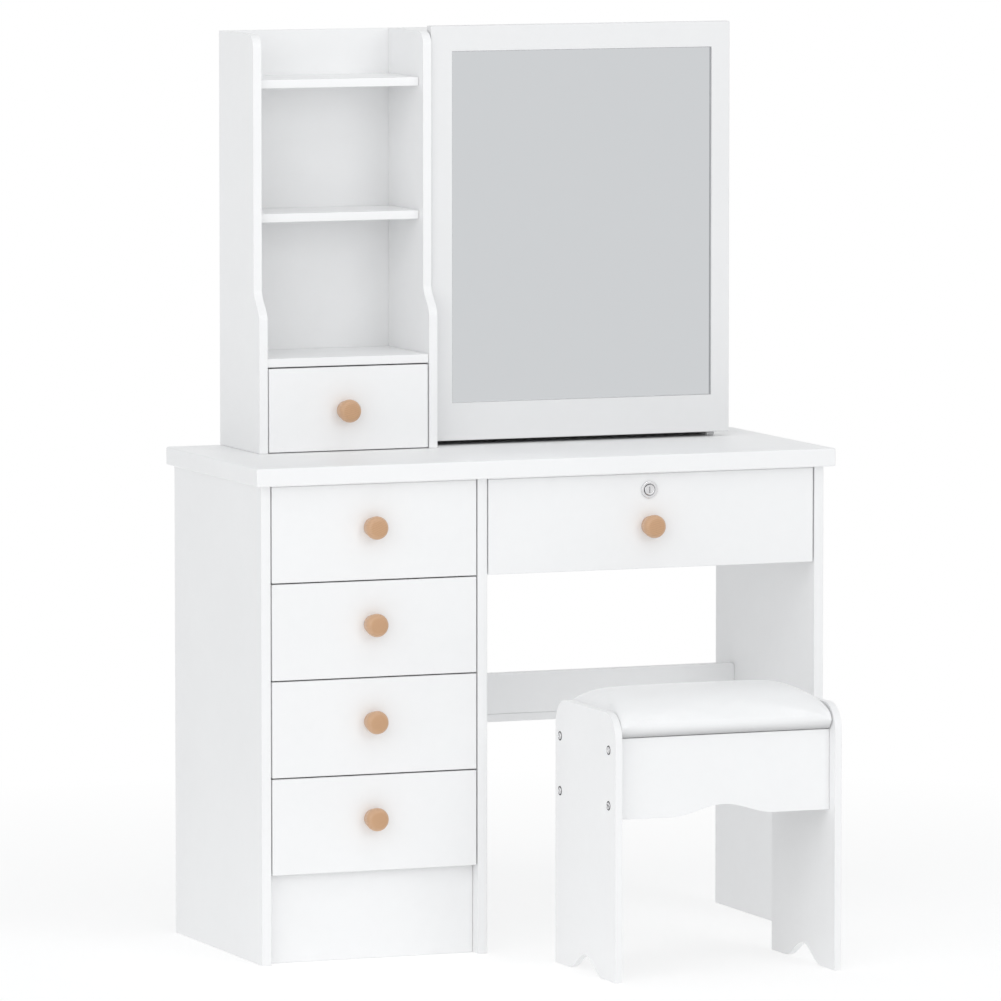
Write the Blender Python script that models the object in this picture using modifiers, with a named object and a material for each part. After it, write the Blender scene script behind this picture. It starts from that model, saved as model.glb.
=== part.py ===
"""Makeup vanity desk in white lacquered board, with its stool.

A pedestal of four drawers and one wide lockable drawer carry the tabletop. On the tabletop stand an open
tower with an S-curved front and a small drawer, and a shallow cabinet behind a hinged mirror door.
Metres, +Z up, the front faces -Y. The origin lies on the floor at the middle of the whole set.
"""

import math

import bmesh
import bpy
from mathutils import Vector

# Clearances and small sizes that all pieces share
FIT = 0.0003  # gap left where two fixed pieces meet
OVERRUN = 0.002  # how far a cutter passes the face it cuts
HOUSING = 0.002  # how far a fused batten or plate sinks into the piece that carries it
EDGE_EASE = 0.0008  # bevel on the edges of ordinary boards
CURVE_STEPS = 12  # straight steps in one curved stretch of an outline
TURNED_STEPS = 24  # steps round a turned piece
EASE_ANGLE = 50  # edges sharper than this are eased, in degrees
SHARP_ANGLE = 35  # turned metal keeps edges sharper than this, in degrees

# Desk carcass
DESK_H = 0.7524
TOP_T = 0.0281
TOP_EDGE_R = 0.0025
TOP_SIDE_OVERHANG = 0.01265
TOP_FRONT_OVERHANG = 0.0182
TOP_BACK_OVERHANG = 0.0025
BOARD_T = 0.0155
PEDESTAL_W = 0.3332  # clear width between the left and middle panels
KNEE_W = 0.539  # clear width between the middle and right panels
CARCASS_D = 0.385
PLINTH_H = 0.1339
PLINTH_SETBACK = 0.020
BACK_T = 0.004
BACK_REBATE = 0.005  # how far a back reaches into each panel
BACK_FOOT = 0.060  # height of the pedestal back's lower edge
REAR_RAIL_H = 0.080
KNEE_RAIL_Z = 0.3257  # height of the upright rail's lower edge
KNEE_RAIL_H = 0.0628
KNEE_RAIL_T = 0.0155
KNEE_RAIL_BACK = 0.0755  # from the rail's face to the panels' rear edges
KNEE_RAIL_CORNER_R = 0.006
KNEE_SHELF_T = 0.0127
KNEE_SHELF_SETBACK = 0.003

# Drawers
DRAWER_COUNT = 4
FRONT_T = 0.015
FRONT_GAP = 0.002  # shadow gap round each front
FRONT_EASE = 0.0012
BOX_T = 0.012
BOX_SIDE_GAP = 0.004
BOX_RISE = 0.012  # from a front's lower edge to its box
BOX_REAR_CLEAR = 0.0045
PEDESTAL_BOX_LESS = 0.0351  # how much lower a pedestal box is than its front
WIDE_BOX_LESS = 0.0451
SHEET_T = 0.003
SHEET_EASE = 0.0003
SHEET_GROOVE = 0.005
SHEET_RISE = 0.008
RUNNER_H = 0.014
RUNNER_PROUD = 0.009
RUNNER_SETBACK = 0.025
RUNNER_REAR_GAP = 0.030  # from a runner's end to the panels' rear edges
RUNNER_RISE = 0.045  # from a box's lower edge to its runner groove
RUN_CLEAR = 0.001

# Turned knobs
KNOB_R = 0.0172
KNOB_L = 0.027
KNOB_FACE_R = 0.0118
KNOB_NECK_R = 0.0098
KNOB_RIM_L = 0.0075  # length of the rounded rim round the face
KNOB_TENON_R = 0.004
KNOB_TENON_L = 0.010
KNOB_ASIDE = 0.003  # the desk's knobs sit this far left of their fronts' middles
PEDESTAL_KNOB_RISE = 0.007
WIDE_KNOB_DROP = 0.007
TOWER_KNOB_ASIDE = 0.005
TOWER_KNOB_DROP = 0.0025

# Lock of the wide drawer
LOCK_ASIDE = 0.005
LOCK_DROP = 0.0246  # from the top of the wide front to the lock's axis
LOCK_RING_R = 0.0131
LOCK_RING_L = 0.003
LOCK_RING_CHAMFER = 0.0012  # on the ring's inner edge
LOCK_BODY_R = 0.0105
LOCK_BODY_BEHIND = 0.008
PLUG_R = 0.008
PLUG_PROUD = 0.0008  # how far the plug stands out of the ring
KEY_SLOT_W = 0.0016
KEY_SLOT_H = 0.009
KEY_SLOT_DEPTH = 0.004
TONGUE_L = 0.022
TONGUE_W = 0.010
TONGUE_T = 0.002
STRIKE_W = 0.022
STRIKE_DROP = 0.0125
STRIKE_T = 0.002
STRIKE_FOOT = 0.016

# Tower on the tabletop
HUTCH_BOARD_T = 0.0135
TOWER_INSET = 0.0885  # from the tabletop's left edge
TOWER_W = 0.263
TOWER_H = 0.6365
TOWER_UPPER_D = 0.1512
TOWER_LOWER_D = 0.1763
TOWER_CURVE_Z = 0.2026  # above the tabletop, where the S-curve starts
TOWER_CURVE_H = 0.046
TOWER_CORNER_R = 0.020
UPPER_SHELF_TOP = 0.5666  # above the tabletop, as are the next two
MIDDLE_SHELF_TOP = 0.3626
DRAWER_COVER_TOP = 0.1446
SHELF_SETBACK = 0.0172
COVER_SETBACK = 0.0024
TOWER_FRONT_LIFT = 0.0014
TOWER_BOX_LESS = 0.0427  # how much lower the small box is than its front
TOWER_BOX_SIDE_GAP = 0.0015
TOWER_BOX_REAR_CLEAR = 0.010

# Mirror cabinet and its door
CABINET_W = 0.46875
CABINET_SHELF_SHARES = (0.34, 0.68)  # of the cabinet's height
DOOR_T = 0.018
DOOR_EASE = 0.0015
DOOR_SETBACK = 0.0068  # behind the tower's upper front edge
DOOR_SIDE_GAP = 0.00215
DOOR_LIFT = 0.0073
DOOR_RISE = 0.0081  # above the tower
DOOR_GRIP = 0.0164  # past the cabinet's right side
DOOR_REAR_GAP = 0.002
STILE_LEFT_W = 0.0345
STILE_RIGHT_W = 0.0305
RAIL_TOP_H = 0.039
RAIL_BOTTOM_H = 0.058
DOOR_LIP_T = 0.0035
DOOR_LIP_W = 0.004
GLASS_T = 0.004
BACKING_T = 0.009

# Concealed hinges of the door
HINGE_END = 0.090  # from the door's ends to each hinge
HINGE_AXIS_IN = 0.001  # axis behind and inside the door's front left edge
CUP_INSET = 0.0162
CUP_R = 0.013
CUP_DEPTH = 0.0095
CUP_WALL = 0.0012
CUP_FLANGE_R = 0.0142
CUP_FLANGE_T = 0.0012
ARM_REACH = 0.021
ARM_L = 0.052
ARM_T = 0.004
ARM_H = 0.012
ARM_ROOT_T = 0.008
PLATE_L = 0.030
PLATE_H = 0.044
PLATE_T = 0.0025

# Stool
STOOL_REACH = 0.3595  # its front edge ahead of the panels' front edges
STOOL_ASIDE = 0.0247  # its middle left of the knee space's middle
STOOL_W = 0.3661
STOOL_D = 0.2371
STOOL_H = 0.4018
STOOL_SIDE_T = 0.011
STOOL_CORNER_R = 0.040
NOTCH_W = 0.136
NOTCH_H = 0.027
APRON_T = 0.012
APRON_Z = 0.2412
APRON_H = 0.1213
APRON_FRONT_SETBACK = 0.021
APRON_REAR_SETBACK = 0.0125
ARCH_W = 0.165
ARCH_H = 0.016
SEAT_T = 0.012
SEAT_INSET = 0.002
CUSHION_LIP = 0.0115  # how far the cushion hangs below the seat board's top
CUSHION_SETBACK = 0.003
CUSHION_SIDE_GAP = 0.0006
CUSHION_END_DROP = 0.001  # from the sides' tops down to the cushion's ends
CUSHION_CROWN = 0.018  # rise of its middle over its ends
CUSHION_END_POWER = 10  # a high power keeps the crown level almost to both ends
CUSHION_DEPTH_POWER = 2.5
CUSHION_ROLL_D = 0.038  # depth and height of the rolls along its front and rear
CUSHION_ROLL_H = 0.023
CUSHION_END_ROLL = 0.003
CUSHION_TUCK = 0.012  # how far its lower edge is drawn in under the rolls
CUSHION_DRAW = 0.0015
CUSHION_CUTS = 6

# Places worked out from the sizes above
PANEL_H = DESK_H - TOP_T
DESK_W = 3 * BOARD_T + PEDESTAL_W + KNEE_W
BACK_REACH = CARCASS_D + TOP_BACK_OVERHANG
FRONT_Y = (STOOL_REACH - BACK_REACH) / 2
REAR_Y = FRONT_Y + CARCASS_D
TOP_REAR_Y = REAR_Y + TOP_BACK_OVERHANG
LEFT_X = -DESK_W / 2
PEDESTAL_X = (LEFT_X + BOARD_T, LEFT_X + BOARD_T + PEDESTAL_W)
KNEE_X = (PEDESTAL_X[1] + BOARD_T, PEDESTAL_X[1] + BOARD_T + KNEE_W)
FRONT_PITCH = (PANEL_H - PLINTH_H - FRONT_GAP) / DRAWER_COUNT
FRONT_H = FRONT_PITCH - FRONT_GAP
BOX_Y = (FRONT_Y + FRONT_T + FIT, REAR_Y - BOARD_T - BOX_REAR_CLEAR)
TOWER_X = (
    LEFT_X - TOP_SIDE_OVERHANG + TOWER_INSET + HUTCH_BOARD_T,
    LEFT_X - TOP_SIDE_OVERHANG + TOWER_INSET + HUTCH_BOARD_T + TOWER_W,
)
TOWER_BACK_Y = TOP_REAR_Y - BACK_T
CABINET_X = (TOWER_X[1] + HUTCH_BOARD_T, TOWER_X[1] + HUTCH_BOARD_T + CABINET_W)
DOOR_X = (CABINET_X[0] + DOOR_SIDE_GAP, CABINET_X[1] + HUTCH_BOARD_T + DOOR_GRIP)
DOOR_Y = (
    TOP_REAR_Y - TOWER_UPPER_D + DOOR_SETBACK,
    TOP_REAR_Y - TOWER_UPPER_D + DOOR_SETBACK + DOOR_T,
)
DOOR_Z = (DESK_H + DOOR_LIFT, DESK_H + TOWER_H + DOOR_RISE)
CABINET_FRONT_Y = DOOR_Y[1] + DOOR_REAR_GAP
HINGE_X = DOOR_X[0] + HINGE_AXIS_IN
HINGE_Y = DOOR_Y[0] + HINGE_AXIS_IN
STOOL_MID_X = (KNEE_X[0] + KNEE_X[1]) / 2 - STOOL_ASIDE
STOOL_X = (STOOL_MID_X - STOOL_W / 2, STOOL_MID_X + STOOL_W / 2)
STOOL_Y = (FRONT_Y - STOOL_REACH, FRONT_Y - STOOL_REACH + STOOL_D)
SEAT_X = (STOOL_X[0] + STOOL_SIDE_T, STOOL_X[1] - STOOL_SIDE_T)

# Finishes: base colour, roughness and metallic value
LACQUER = ("white_lacquer", (0.89, 0.89, 0.90), 0.42, 0.0)
BOX_BOARD = ("box_board", (0.86, 0.86, 0.85), 0.55, 0.0)
SHEET = ("white_sheet", (0.84, 0.84, 0.83), 0.60, 0.0)
BEECH = ("beech", (0.60, 0.34, 0.18), 0.45, 0.0)
MIRROR = ("silvered_glass", (0.80, 0.82, 0.82), 0.03, 1.0)
NICKEL = ("nickel", (0.72, 0.72, 0.73), 0.25, 1.0)
LEATHERETTE = ("white_leatherette", (0.86, 0.86, 0.87), 0.40, 0.0)

# Rotations that stand a flat outline up: across the desk, and along it
ACROSS = (math.pi / 2, 0, math.pi / 2)
ALONG = (math.pi / 2, 0, 0)


def clear_scene():
    """Empty the scene and add one collection for the parts and one for the cutters."""
    for old in list(bpy.data.objects):
        bpy.data.objects.remove(old, do_unlink=True)
    made = []
    for name in ("makeup_vanity_desk", "cutters"):
        collection = bpy.data.collections.new(name)
        bpy.context.scene.collection.children.link(collection)
        made.append(collection)
    return made


PARTS, CUTTERS = clear_scene()


def paint(part, finish):
    """Give a part its own Principled material with the finish's values."""
    name, colour, roughness, metallic = finish
    material = bpy.data.materials.new(part.name + "_" + name)
    material.use_nodes = True
    shader = material.node_tree.nodes["Principled BSDF"]
    shader.inputs["Base Color"].default_value = (*colour, 1)
    shader.inputs["Roughness"].default_value = roughness
    shader.inputs["Metallic"].default_value = metallic
    part.data.materials.clear()
    part.data.materials.append(material)
    return part


def add_mesh(name, bm, collection, place=(0, 0, 0)):
    """Turn a bmesh into an object of a collection."""
    mesh = bpy.data.meshes.new(name)
    bm.to_mesh(mesh)
    bm.free()
    made = bpy.data.objects.new(name, mesh)
    made.location = place
    collection.objects.link(made)
    return made


def blocks(name, ranges, collection):
    """Boxes between pairs of x, y and z, in one mesh whose origin is the first box's middle."""
    bm = bmesh.new()
    origin = Vector([sum(pair) / 2 for pair in ranges[0]])
    for box in ranges:
        middle = Vector([sum(pair) / 2 for pair in box])
        size = Vector([pair[1] - pair[0] for pair in box])
        corners = bmesh.ops.create_cube(bm, size=1)["verts"]
        bmesh.ops.scale(bm, vec=size, verts=corners)
        bmesh.ops.translate(bm, vec=middle - origin, verts=corners)
    return add_mesh(name, bm, collection, origin)


def ease(part, width, segments=1):
    """Round a board's sharp edges."""
    bevel = part.modifiers.new("eased_edges", "BEVEL")
    bevel.width = width
    bevel.segments = segments
    bevel.limit_method = "ANGLE"
    bevel.angle_limit = math.radians(EASE_ANGLE)
    return part


def board(name, x, y, z, finish=LACQUER, width=EDGE_EASE, segments=1):
    """A flat board between pairs of x, y and z."""
    part = blocks(name, [(x, y, z)], PARTS)
    return paint(ease(part, width, segments), finish)


def hide_cutter(cutter):
    """Keep a cutter out of the model and draw it as wires."""
    cutter.hide_render = True
    cutter.display_type = "WIRE"
    return cutter


def combine(part, tool, operation="DIFFERENCE"):
    """Cut a part by a tool, or join the tool to it."""
    boolean = part.modifiers.new(tool.name, "BOOLEAN")
    boolean.operation = operation
    boolean.object = hide_cutter(tool)
    return part


def cut_blocks(part, label, ranges):
    """Cut boxes out of a part."""
    return combine(part, blocks(part.name + "_" + label, ranges, CUTTERS))


def join_blocks(part, label, ranges):
    """Join boxes to a part."""
    return combine(part, blocks(part.name + "_" + label, ranges, CUTTERS), "UNION")


def cut_round(part, label, radius, x, z, y):
    """Bore a part along Y between a pair of y."""
    bm = bmesh.new()
    bmesh.ops.create_cone(
        bm, cap_ends=True, segments=TURNED_STEPS, radius1=radius, radius2=radius, depth=y[1] - y[0]
    )
    bore = add_mesh(part.name + "_" + label, bm, CUTTERS, (x, sum(y) / 2, z))
    bore.rotation_euler = ALONG
    return combine(part, bore)


def outline(name, points, thickness, middle, turn, collection=PARTS):
    """A flat closed outline of the given thickness, made a mesh and stood up at its place."""
    curve = bpy.data.curves.new(name, "CURVE")
    curve.dimensions = "2D"
    curve.fill_mode = "BOTH"
    curve.extrude = thickness / 2
    spline = curve.splines.new("POLY")
    spline.points.add(len(points) - 1)
    for point, (across, up) in zip(spline.points, points):
        point.co = (across, up, 0, 1)
    spline.use_cyclic_u = True
    drawn = bpy.data.objects.new(name + "_outline", curve)
    drawn.location = middle
    drawn.rotation_euler = turn
    collection.objects.link(drawn)
    bpy.context.view_layer.update()
    shape = drawn.evaluated_get(bpy.context.evaluated_depsgraph_get())
    mesh = bpy.data.meshes.new_from_object(shape)
    bm = bmesh.new()
    bm.from_mesh(mesh)
    bmesh.ops.remove_doubles(bm, verts=bm.verts, dist=FIT / 10)
    bm.to_mesh(mesh)
    bm.free()
    made = bpy.data.objects.new(name, mesh)
    made.matrix_world = drawn.matrix_world
    collection.objects.link(made)
    bpy.data.objects.remove(drawn, do_unlink=True)
    return made


def turned(name, profile, finish, place, turn, collection=PARTS):
    """A turned piece: the profile, as (radius, height) from top to foot, swept round the local Z."""
    bm = bmesh.new()
    points = [bm.verts.new((radius, 0, height)) for radius, height in profile]
    for start, end in zip(points, points[1:]):
        bm.edges.new((start, end))
    if profile[0][0] > 0:
        bm.edges.new((points[-1], points[0]))
    part = add_mesh(name, bm, collection, place)
    part.rotation_euler = turn
    screw = part.modifiers.new("turned", "SCREW")
    screw.steps = TURNED_STEPS
    screw.render_steps = TURNED_STEPS
    screw.use_merge_vertices = True
    screw.merge_threshold = FIT / 10
    return paint(part, finish)


def pivot(name, place, pieces):
    """An empty on a joint's axis that carries its pieces."""
    empty = bpy.data.objects.new(name, None)
    empty.location = place
    empty.empty_display_size = KNOB_R
    PARTS.objects.link(empty)
    for piece in pieces:
        piece.parent = empty
        piece.location = Vector(piece.location) - Vector(place)
    return empty


def arc(centre, radius, start, end, steps=CURVE_STEPS):
    """Points along an arc, angles in degrees."""
    points = []
    for step in range(steps + 1):
        angle = math.radians(start + (end - start) * step / steps)
        points.append((centre[0] + radius * math.cos(angle), centre[1] + radius * math.sin(angle)))
    return points


def swell(start, end, height, base, steps=2 * CURVE_STEPS):
    """Points of a raised cosine from start to end, as tall as height above base."""
    points = []
    for step in range(steps + 1):
        share = step / steps
        rise = (1 - math.cos(2 * math.pi * share)) / 2
        points.append((start + (end - start) * share, base + height * rise))
    return points


def ledge(start, end, steps=CURVE_STEPS):
    """Points of half a cosine wave from start down to end, upright at both its ends."""
    points = []
    for step in range(steps + 1):
        share = step / steps
        slide = (1 - math.cos(math.pi * share)) / 2
        points.append((start[0] + (end[0] - start[0]) * slide, start[1] + (end[1] - start[1]) * share))
    return points


def inside(pair, gap=FIT):
    """A pair of limits drawn in by a gap at both ends."""
    return (pair[0] + gap, pair[1] - gap)


def front_bottom(index):
    """Height of the lower edge of a pedestal front, counted from the top one, which is 0."""
    return PLINTH_H + FRONT_GAP + (DRAWER_COUNT - 1 - index) * FRONT_PITCH


def runner_z(index):
    """Heights of a runner batten's lower and upper faces."""
    groove = front_bottom(index) + BOX_RISE + RUNNER_RISE
    return (groove + RUN_CLEAR, groove + RUN_CLEAR + RUNNER_H)


def batten(face_x, side, index):
    """Box of a runner batten that stands out of a panel's face towards side, -1 or 1."""
    ends = (face_x - side * HOUSING, face_x + side * RUNNER_PROUD)
    y = (FRONT_Y + RUNNER_SETBACK, REAR_Y - RUNNER_REAR_GAP)
    return ((min(ends), max(ends)), y, runner_z(index))


def back_rebate(face_x, side, rear_y, z):
    """Box of the rebate for a back, cut into the face that looks towards side."""
    ends = (face_x - side * BACK_REBATE, face_x + side * OVERRUN)
    return ((min(ends), max(ends)), (rear_y - BACK_T - FIT, rear_y + OVERRUN), z)


def make_carcass():
    """Tabletop, three panels with their runner battens, backs, plinth and rails."""
    top_x = (LEFT_X - TOP_SIDE_OVERHANG, LEFT_X + DESK_W + TOP_SIDE_OVERHANG)
    top_y = (FRONT_Y - TOP_FRONT_OVERHANG, TOP_REAR_Y)
    board("tabletop", top_x, top_y, (PANEL_H + FIT, DESK_H), width=TOP_EDGE_R, segments=3)

    depth = (FRONT_Y, REAR_Y)
    height = (0, PANEL_H)
    levels = range(DRAWER_COUNT)
    rebate_z = (BACK_FOOT - FIT, PANEL_H + OVERRUN)

    left = board("left_side_panel", (LEFT_X, PEDESTAL_X[0]), depth, height)
    cut_blocks(left, "rebate", [back_rebate(PEDESTAL_X[0], 1, REAR_Y, rebate_z)])
    join_blocks(left, "battens", [batten(PEDESTAL_X[0], 1, level) for level in levels])

    middle = board("middle_panel", (PEDESTAL_X[1], KNEE_X[0]), depth, height)
    cut_blocks(middle, "rebate", [back_rebate(PEDESTAL_X[1], -1, REAR_Y, rebate_z)])
    join_blocks(middle, "battens", [batten(PEDESTAL_X[1], -1, level) for level in levels])
    join_blocks(middle, "wide_batten", [batten(KNEE_X[0], 1, 0)])

    right = board("right_side_panel", (KNEE_X[1], LEFT_X + DESK_W), depth, height)
    join_blocks(right, "batten", [batten(KNEE_X[1], -1, 0)])

    back_x = inside((PEDESTAL_X[0] - BACK_REBATE, PEDESTAL_X[1] + BACK_REBATE))
    board("pedestal_back", back_x, (REAR_Y - BACK_T, REAR_Y), (BACK_FOOT, PANEL_H), SHEET)
    plinth_y = (FRONT_Y + PLINTH_SETBACK, FRONT_Y + PLINTH_SETBACK + BOARD_T)
    board("plinth", inside(PEDESTAL_X), plinth_y, (0, PLINTH_H))
    rail_z = (PANEL_H - REAR_RAIL_H, PANEL_H)
    board("rear_rail", inside(KNEE_X), (REAR_Y - BOARD_T, REAR_Y), rail_z)

    rail_half = (KNEE_X[1] - KNEE_X[0]) / 2 - FIT
    corner = KNEE_RAIL_CORNER_R
    rail_points = [(-rail_half, 0), (rail_half, 0)]
    rail_points += arc((rail_half - corner, KNEE_RAIL_H - corner), corner, 0, 90)
    rail_points += arc((corner - rail_half, KNEE_RAIL_H - corner), corner, 90, 180)
    rail_y = REAR_Y - KNEE_RAIL_BACK
    place = (sum(KNEE_X) / 2, rail_y + KNEE_RAIL_T / 2, KNEE_RAIL_Z)
    rail = outline("knee_rail", rail_points, KNEE_RAIL_T, place, ALONG)
    paint(ease(rail, EDGE_EASE), LACQUER)
    shelf_z = (KNEE_RAIL_Z - FIT - KNEE_SHELF_T, KNEE_RAIL_Z - FIT)
    board("knee_rail_shelf", inside(KNEE_X), (rail_y + KNEE_SHELF_SETBACK, REAR_Y), shelf_z)


def make_knob(name, x, front_y, z):
    """A turned knob: flat face, rounded rim, waist tapering to the neck, and a tenon into its front."""
    rim = KNOB_L - KNOB_RIM_L
    profile = [(0, KNOB_L), (KNOB_FACE_R, KNOB_L)]
    for step in range(1, CURVE_STEPS // 2 + 1):
        angle = math.pi / 2 * step / (CURVE_STEPS // 2)
        radius = KNOB_FACE_R + (KNOB_R - KNOB_FACE_R) * math.sin(angle)
        profile.append((radius, rim + KNOB_RIM_L * math.cos(angle)))
    for step in range(1, CURVE_STEPS // 2 + 1):
        share = step / (CURVE_STEPS // 2)
        radius = KNOB_R + (KNOB_NECK_R - KNOB_R) * math.sin(math.pi / 2 * share) ** 2
        profile.append((radius, rim * (1 - share)))
    profile += [(KNOB_TENON_R, 0), (KNOB_TENON_R, -KNOB_TENON_L), (0, -KNOB_TENON_L)]
    knob = turned(name, profile, BEECH, (x, front_y - FIT, z), ALONG)
    knob.data.shade_smooth()
    return knob


def make_drawer(name, bay_x, front_y, front_z, box, knob_x, knob_z):
    """A drawer's front, box, bottom sheet and knob.

    box gives the box's side gap, its pair of y, its height above the front's foot, its own height and
    whether it hangs on runner battens.
    """
    side_gap, box_y, rise, box_h, hung = box
    groove_z = (front_z[0] + rise + SHEET_RISE, front_z[0] + rise + SHEET_RISE + SHEET_T + 2 * FIT)
    rear_of_front = front_y + FRONT_T

    box_x = inside(bay_x, side_gap)
    inner_x = inside(box_x, BOX_T)
    inner_y = (rear_of_front, box_y[1] - BOX_T)
    sheet_x = (inner_x[0] - SHEET_GROOVE, inner_x[1] + SHEET_GROOVE)
    sheet_y = (rear_of_front - SHEET_GROOVE, inner_y[1] + SHEET_GROOVE)

    front_x = inside(bay_x, FRONT_GAP)
    front = board(name + "_front", front_x, (front_y, rear_of_front), front_z, width=FRONT_EASE, segments=2)
    cut_blocks(front, "sheet_groove", [(sheet_x, (sheet_y[0], rear_of_front + OVERRUN), groove_z)])
    tenon = (front_y - OVERRUN, front_y + KNOB_TENON_L + FIT)
    cut_round(front, "knob_bore", KNOB_TENON_R + FIT, knob_x, knob_z, tenon)

    box_z = (front_z[0] + rise, front_z[0] + rise + box_h)
    hollow_z = (box_z[0] - OVERRUN, box_z[1] + OVERRUN)
    walls = board(name + "_box", box_x, box_y, box_z, BOX_BOARD)
    cut_blocks(walls, "hollow", [(inner_x, (box_y[0] - OVERRUN, inner_y[1]), hollow_z)])
    cut_blocks(walls, "sheet_groove", [(sheet_x, (box_y[0] - OVERRUN, sheet_y[1]), groove_z)])
    if hung:
        low = box_z[0] + RUNNER_RISE
        grooves_z = (low, low + RUN_CLEAR + RUNNER_H + FIT)
        grooves_y = (front_y + RUNNER_SETBACK - RUN_CLEAR, box_y[1] + OVERRUN)
        depth = RUNNER_PROUD - side_gap + RUN_CLEAR
        left = ((box_x[0] - OVERRUN, box_x[0] + depth), grooves_y, grooves_z)
        right = ((box_x[1] - depth, box_x[1] + OVERRUN), grooves_y, grooves_z)
        cut_blocks(walls, "runner_grooves", [left, right])

    sheet_box = (inside(sheet_x), inside(sheet_y), inside(groove_z))
    sheet = board(name + "_bottom", *sheet_box, SHEET, width=SHEET_EASE)
    knob = make_knob(name + "_knob", knob_x, front_y, knob_z)
    return [front, walls, sheet, knob]


def make_pedestal_drawers():
    """Four like drawers, counted from the top."""
    box = (BOX_SIDE_GAP, BOX_Y, BOX_RISE, FRONT_H - PEDESTAL_BOX_LESS, True)
    knob_x = sum(PEDESTAL_X) / 2 - KNOB_ASIDE
    for index in range(DRAWER_COUNT):
        name = "pedestal_drawer_" + str(index + 1)
        z = (front_bottom(index), front_bottom(index) + FRONT_H)
        knob_z = sum(z) / 2 + PEDESTAL_KNOB_RISE
        pieces = make_drawer(name, PEDESTAL_X, FRONT_Y, z, box, knob_x, knob_z)
        pivot(name + "_slide", (sum(PEDESTAL_X) / 2, FRONT_Y, sum(z) / 2), pieces)


def make_wide_drawer():
    """The wide drawer over the knees, with its lock."""
    z = (front_bottom(0), front_bottom(0) + FRONT_H)
    box = (BOX_SIDE_GAP, BOX_Y, BOX_RISE, FRONT_H - WIDE_BOX_LESS, True)
    middle = sum(KNEE_X) / 2
    knob_z = sum(z) / 2 - WIDE_KNOB_DROP
    pieces = make_drawer("wide_drawer", KNEE_X, FRONT_Y, z, box, middle - KNOB_ASIDE, knob_z)

    lock_x = middle - LOCK_ASIDE
    lock_z = z[1] - LOCK_DROP
    bore_y = (FRONT_Y - OVERRUN, FRONT_Y + FRONT_T + OVERRUN)
    cut_round(pieces[0], "lock_bore", LOCK_BODY_R + FIT, lock_x, lock_z, bore_y)

    body_l = FRONT_T + LOCK_BODY_BEHIND
    ring_round = LOCK_RING_L / 3
    bore_r = PLUG_R + FIT
    profile = [
        (bore_r + LOCK_RING_CHAMFER, LOCK_RING_L),
        (LOCK_RING_R - ring_round, LOCK_RING_L),
        (LOCK_RING_R, LOCK_RING_L - ring_round),
        (LOCK_RING_R, FIT),
        (LOCK_BODY_R, FIT),
        (LOCK_BODY_R, -body_l),
        (bore_r, -body_l),
        (bore_r, LOCK_RING_L - LOCK_RING_CHAMFER),
    ]
    cylinder = turned("lock_cylinder", profile, NICKEL, (lock_x, FRONT_Y, lock_z), ALONG)
    cylinder.data.shade_smooth()
    cylinder.data.set_sharp_from_angle(angle=math.radians(SHARP_ANGLE))

    tongue_y = (FRONT_Y + body_l + FIT, FRONT_Y + body_l + FIT + TONGUE_T)
    plug_end = -(body_l + FIT + TONGUE_T)
    plug_face = LOCK_RING_L + PLUG_PROUD
    plug_profile = [(0, plug_face), (PLUG_R, plug_face), (PLUG_R, plug_end), (0, plug_end)]
    plug = turned("lock_plug", plug_profile, NICKEL, (lock_x, FRONT_Y, lock_z), ALONG)
    slot_x = (lock_x - KEY_SLOT_W / 2, lock_x + KEY_SLOT_W / 2)
    slot_y = (FRONT_Y - plug_face - OVERRUN, FRONT_Y - plug_face + KEY_SLOT_DEPTH)
    slot_z = (lock_z - KEY_SLOT_H / 2, lock_z + KEY_SLOT_H / 2)
    cut_blocks(plug, "key_slot", [(slot_x, slot_y, slot_z)])
    tongue_x = (lock_x - PLUG_R / 2, lock_x + TONGUE_L)
    tongue_z = (lock_z - TONGUE_W / 2, lock_z + TONGUE_W / 2)
    join_blocks(plug, "tongue", [(tongue_x, tongue_y, tongue_z)])

    strike_y = tongue_y[0] - RUN_CLEAR - STRIKE_T
    strike_points = [
        (0, 0),
        (STRIKE_T, 0),
        (STRIKE_T, STRIKE_DROP - STRIKE_T),
        (STRIKE_FOOT, STRIKE_DROP - STRIKE_T),
        (STRIKE_FOOT, STRIKE_DROP),
        (0, STRIKE_DROP),
    ]
    place = (lock_x, strike_y, PANEL_H - STRIKE_DROP)
    paint(outline("lock_strike", strike_points, STRIKE_W, place, ACROSS), NICKEL)
    pivot("wide_drawer_slide", (middle, FRONT_Y, sum(z) / 2), pieces + [cylinder, plug])


def tower_panel(name, x):
    """A tower side: an outline with an S-curve between its deep foot and its shallower head."""
    upper = TOP_REAR_Y - TOWER_UPPER_D
    lower = TOP_REAR_Y - TOWER_LOWER_D
    curve_end = TOWER_CURVE_Z + TOWER_CURVE_H
    points = [(TOP_REAR_Y, FIT), (TOP_REAR_Y, TOWER_H)]
    corner = (upper + TOWER_CORNER_R, TOWER_H - TOWER_CORNER_R)
    points += arc(corner, TOWER_CORNER_R, 90, 180)
    points += ledge((upper, curve_end), (lower, TOWER_CURVE_Z))
    points += [(lower, FIT)]
    panel = outline(name, points, HUTCH_BOARD_T, (x + HUTCH_BOARD_T / 2, 0, DESK_H), ACROSS)
    return paint(ease(panel, EDGE_EASE), LACQUER)


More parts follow.
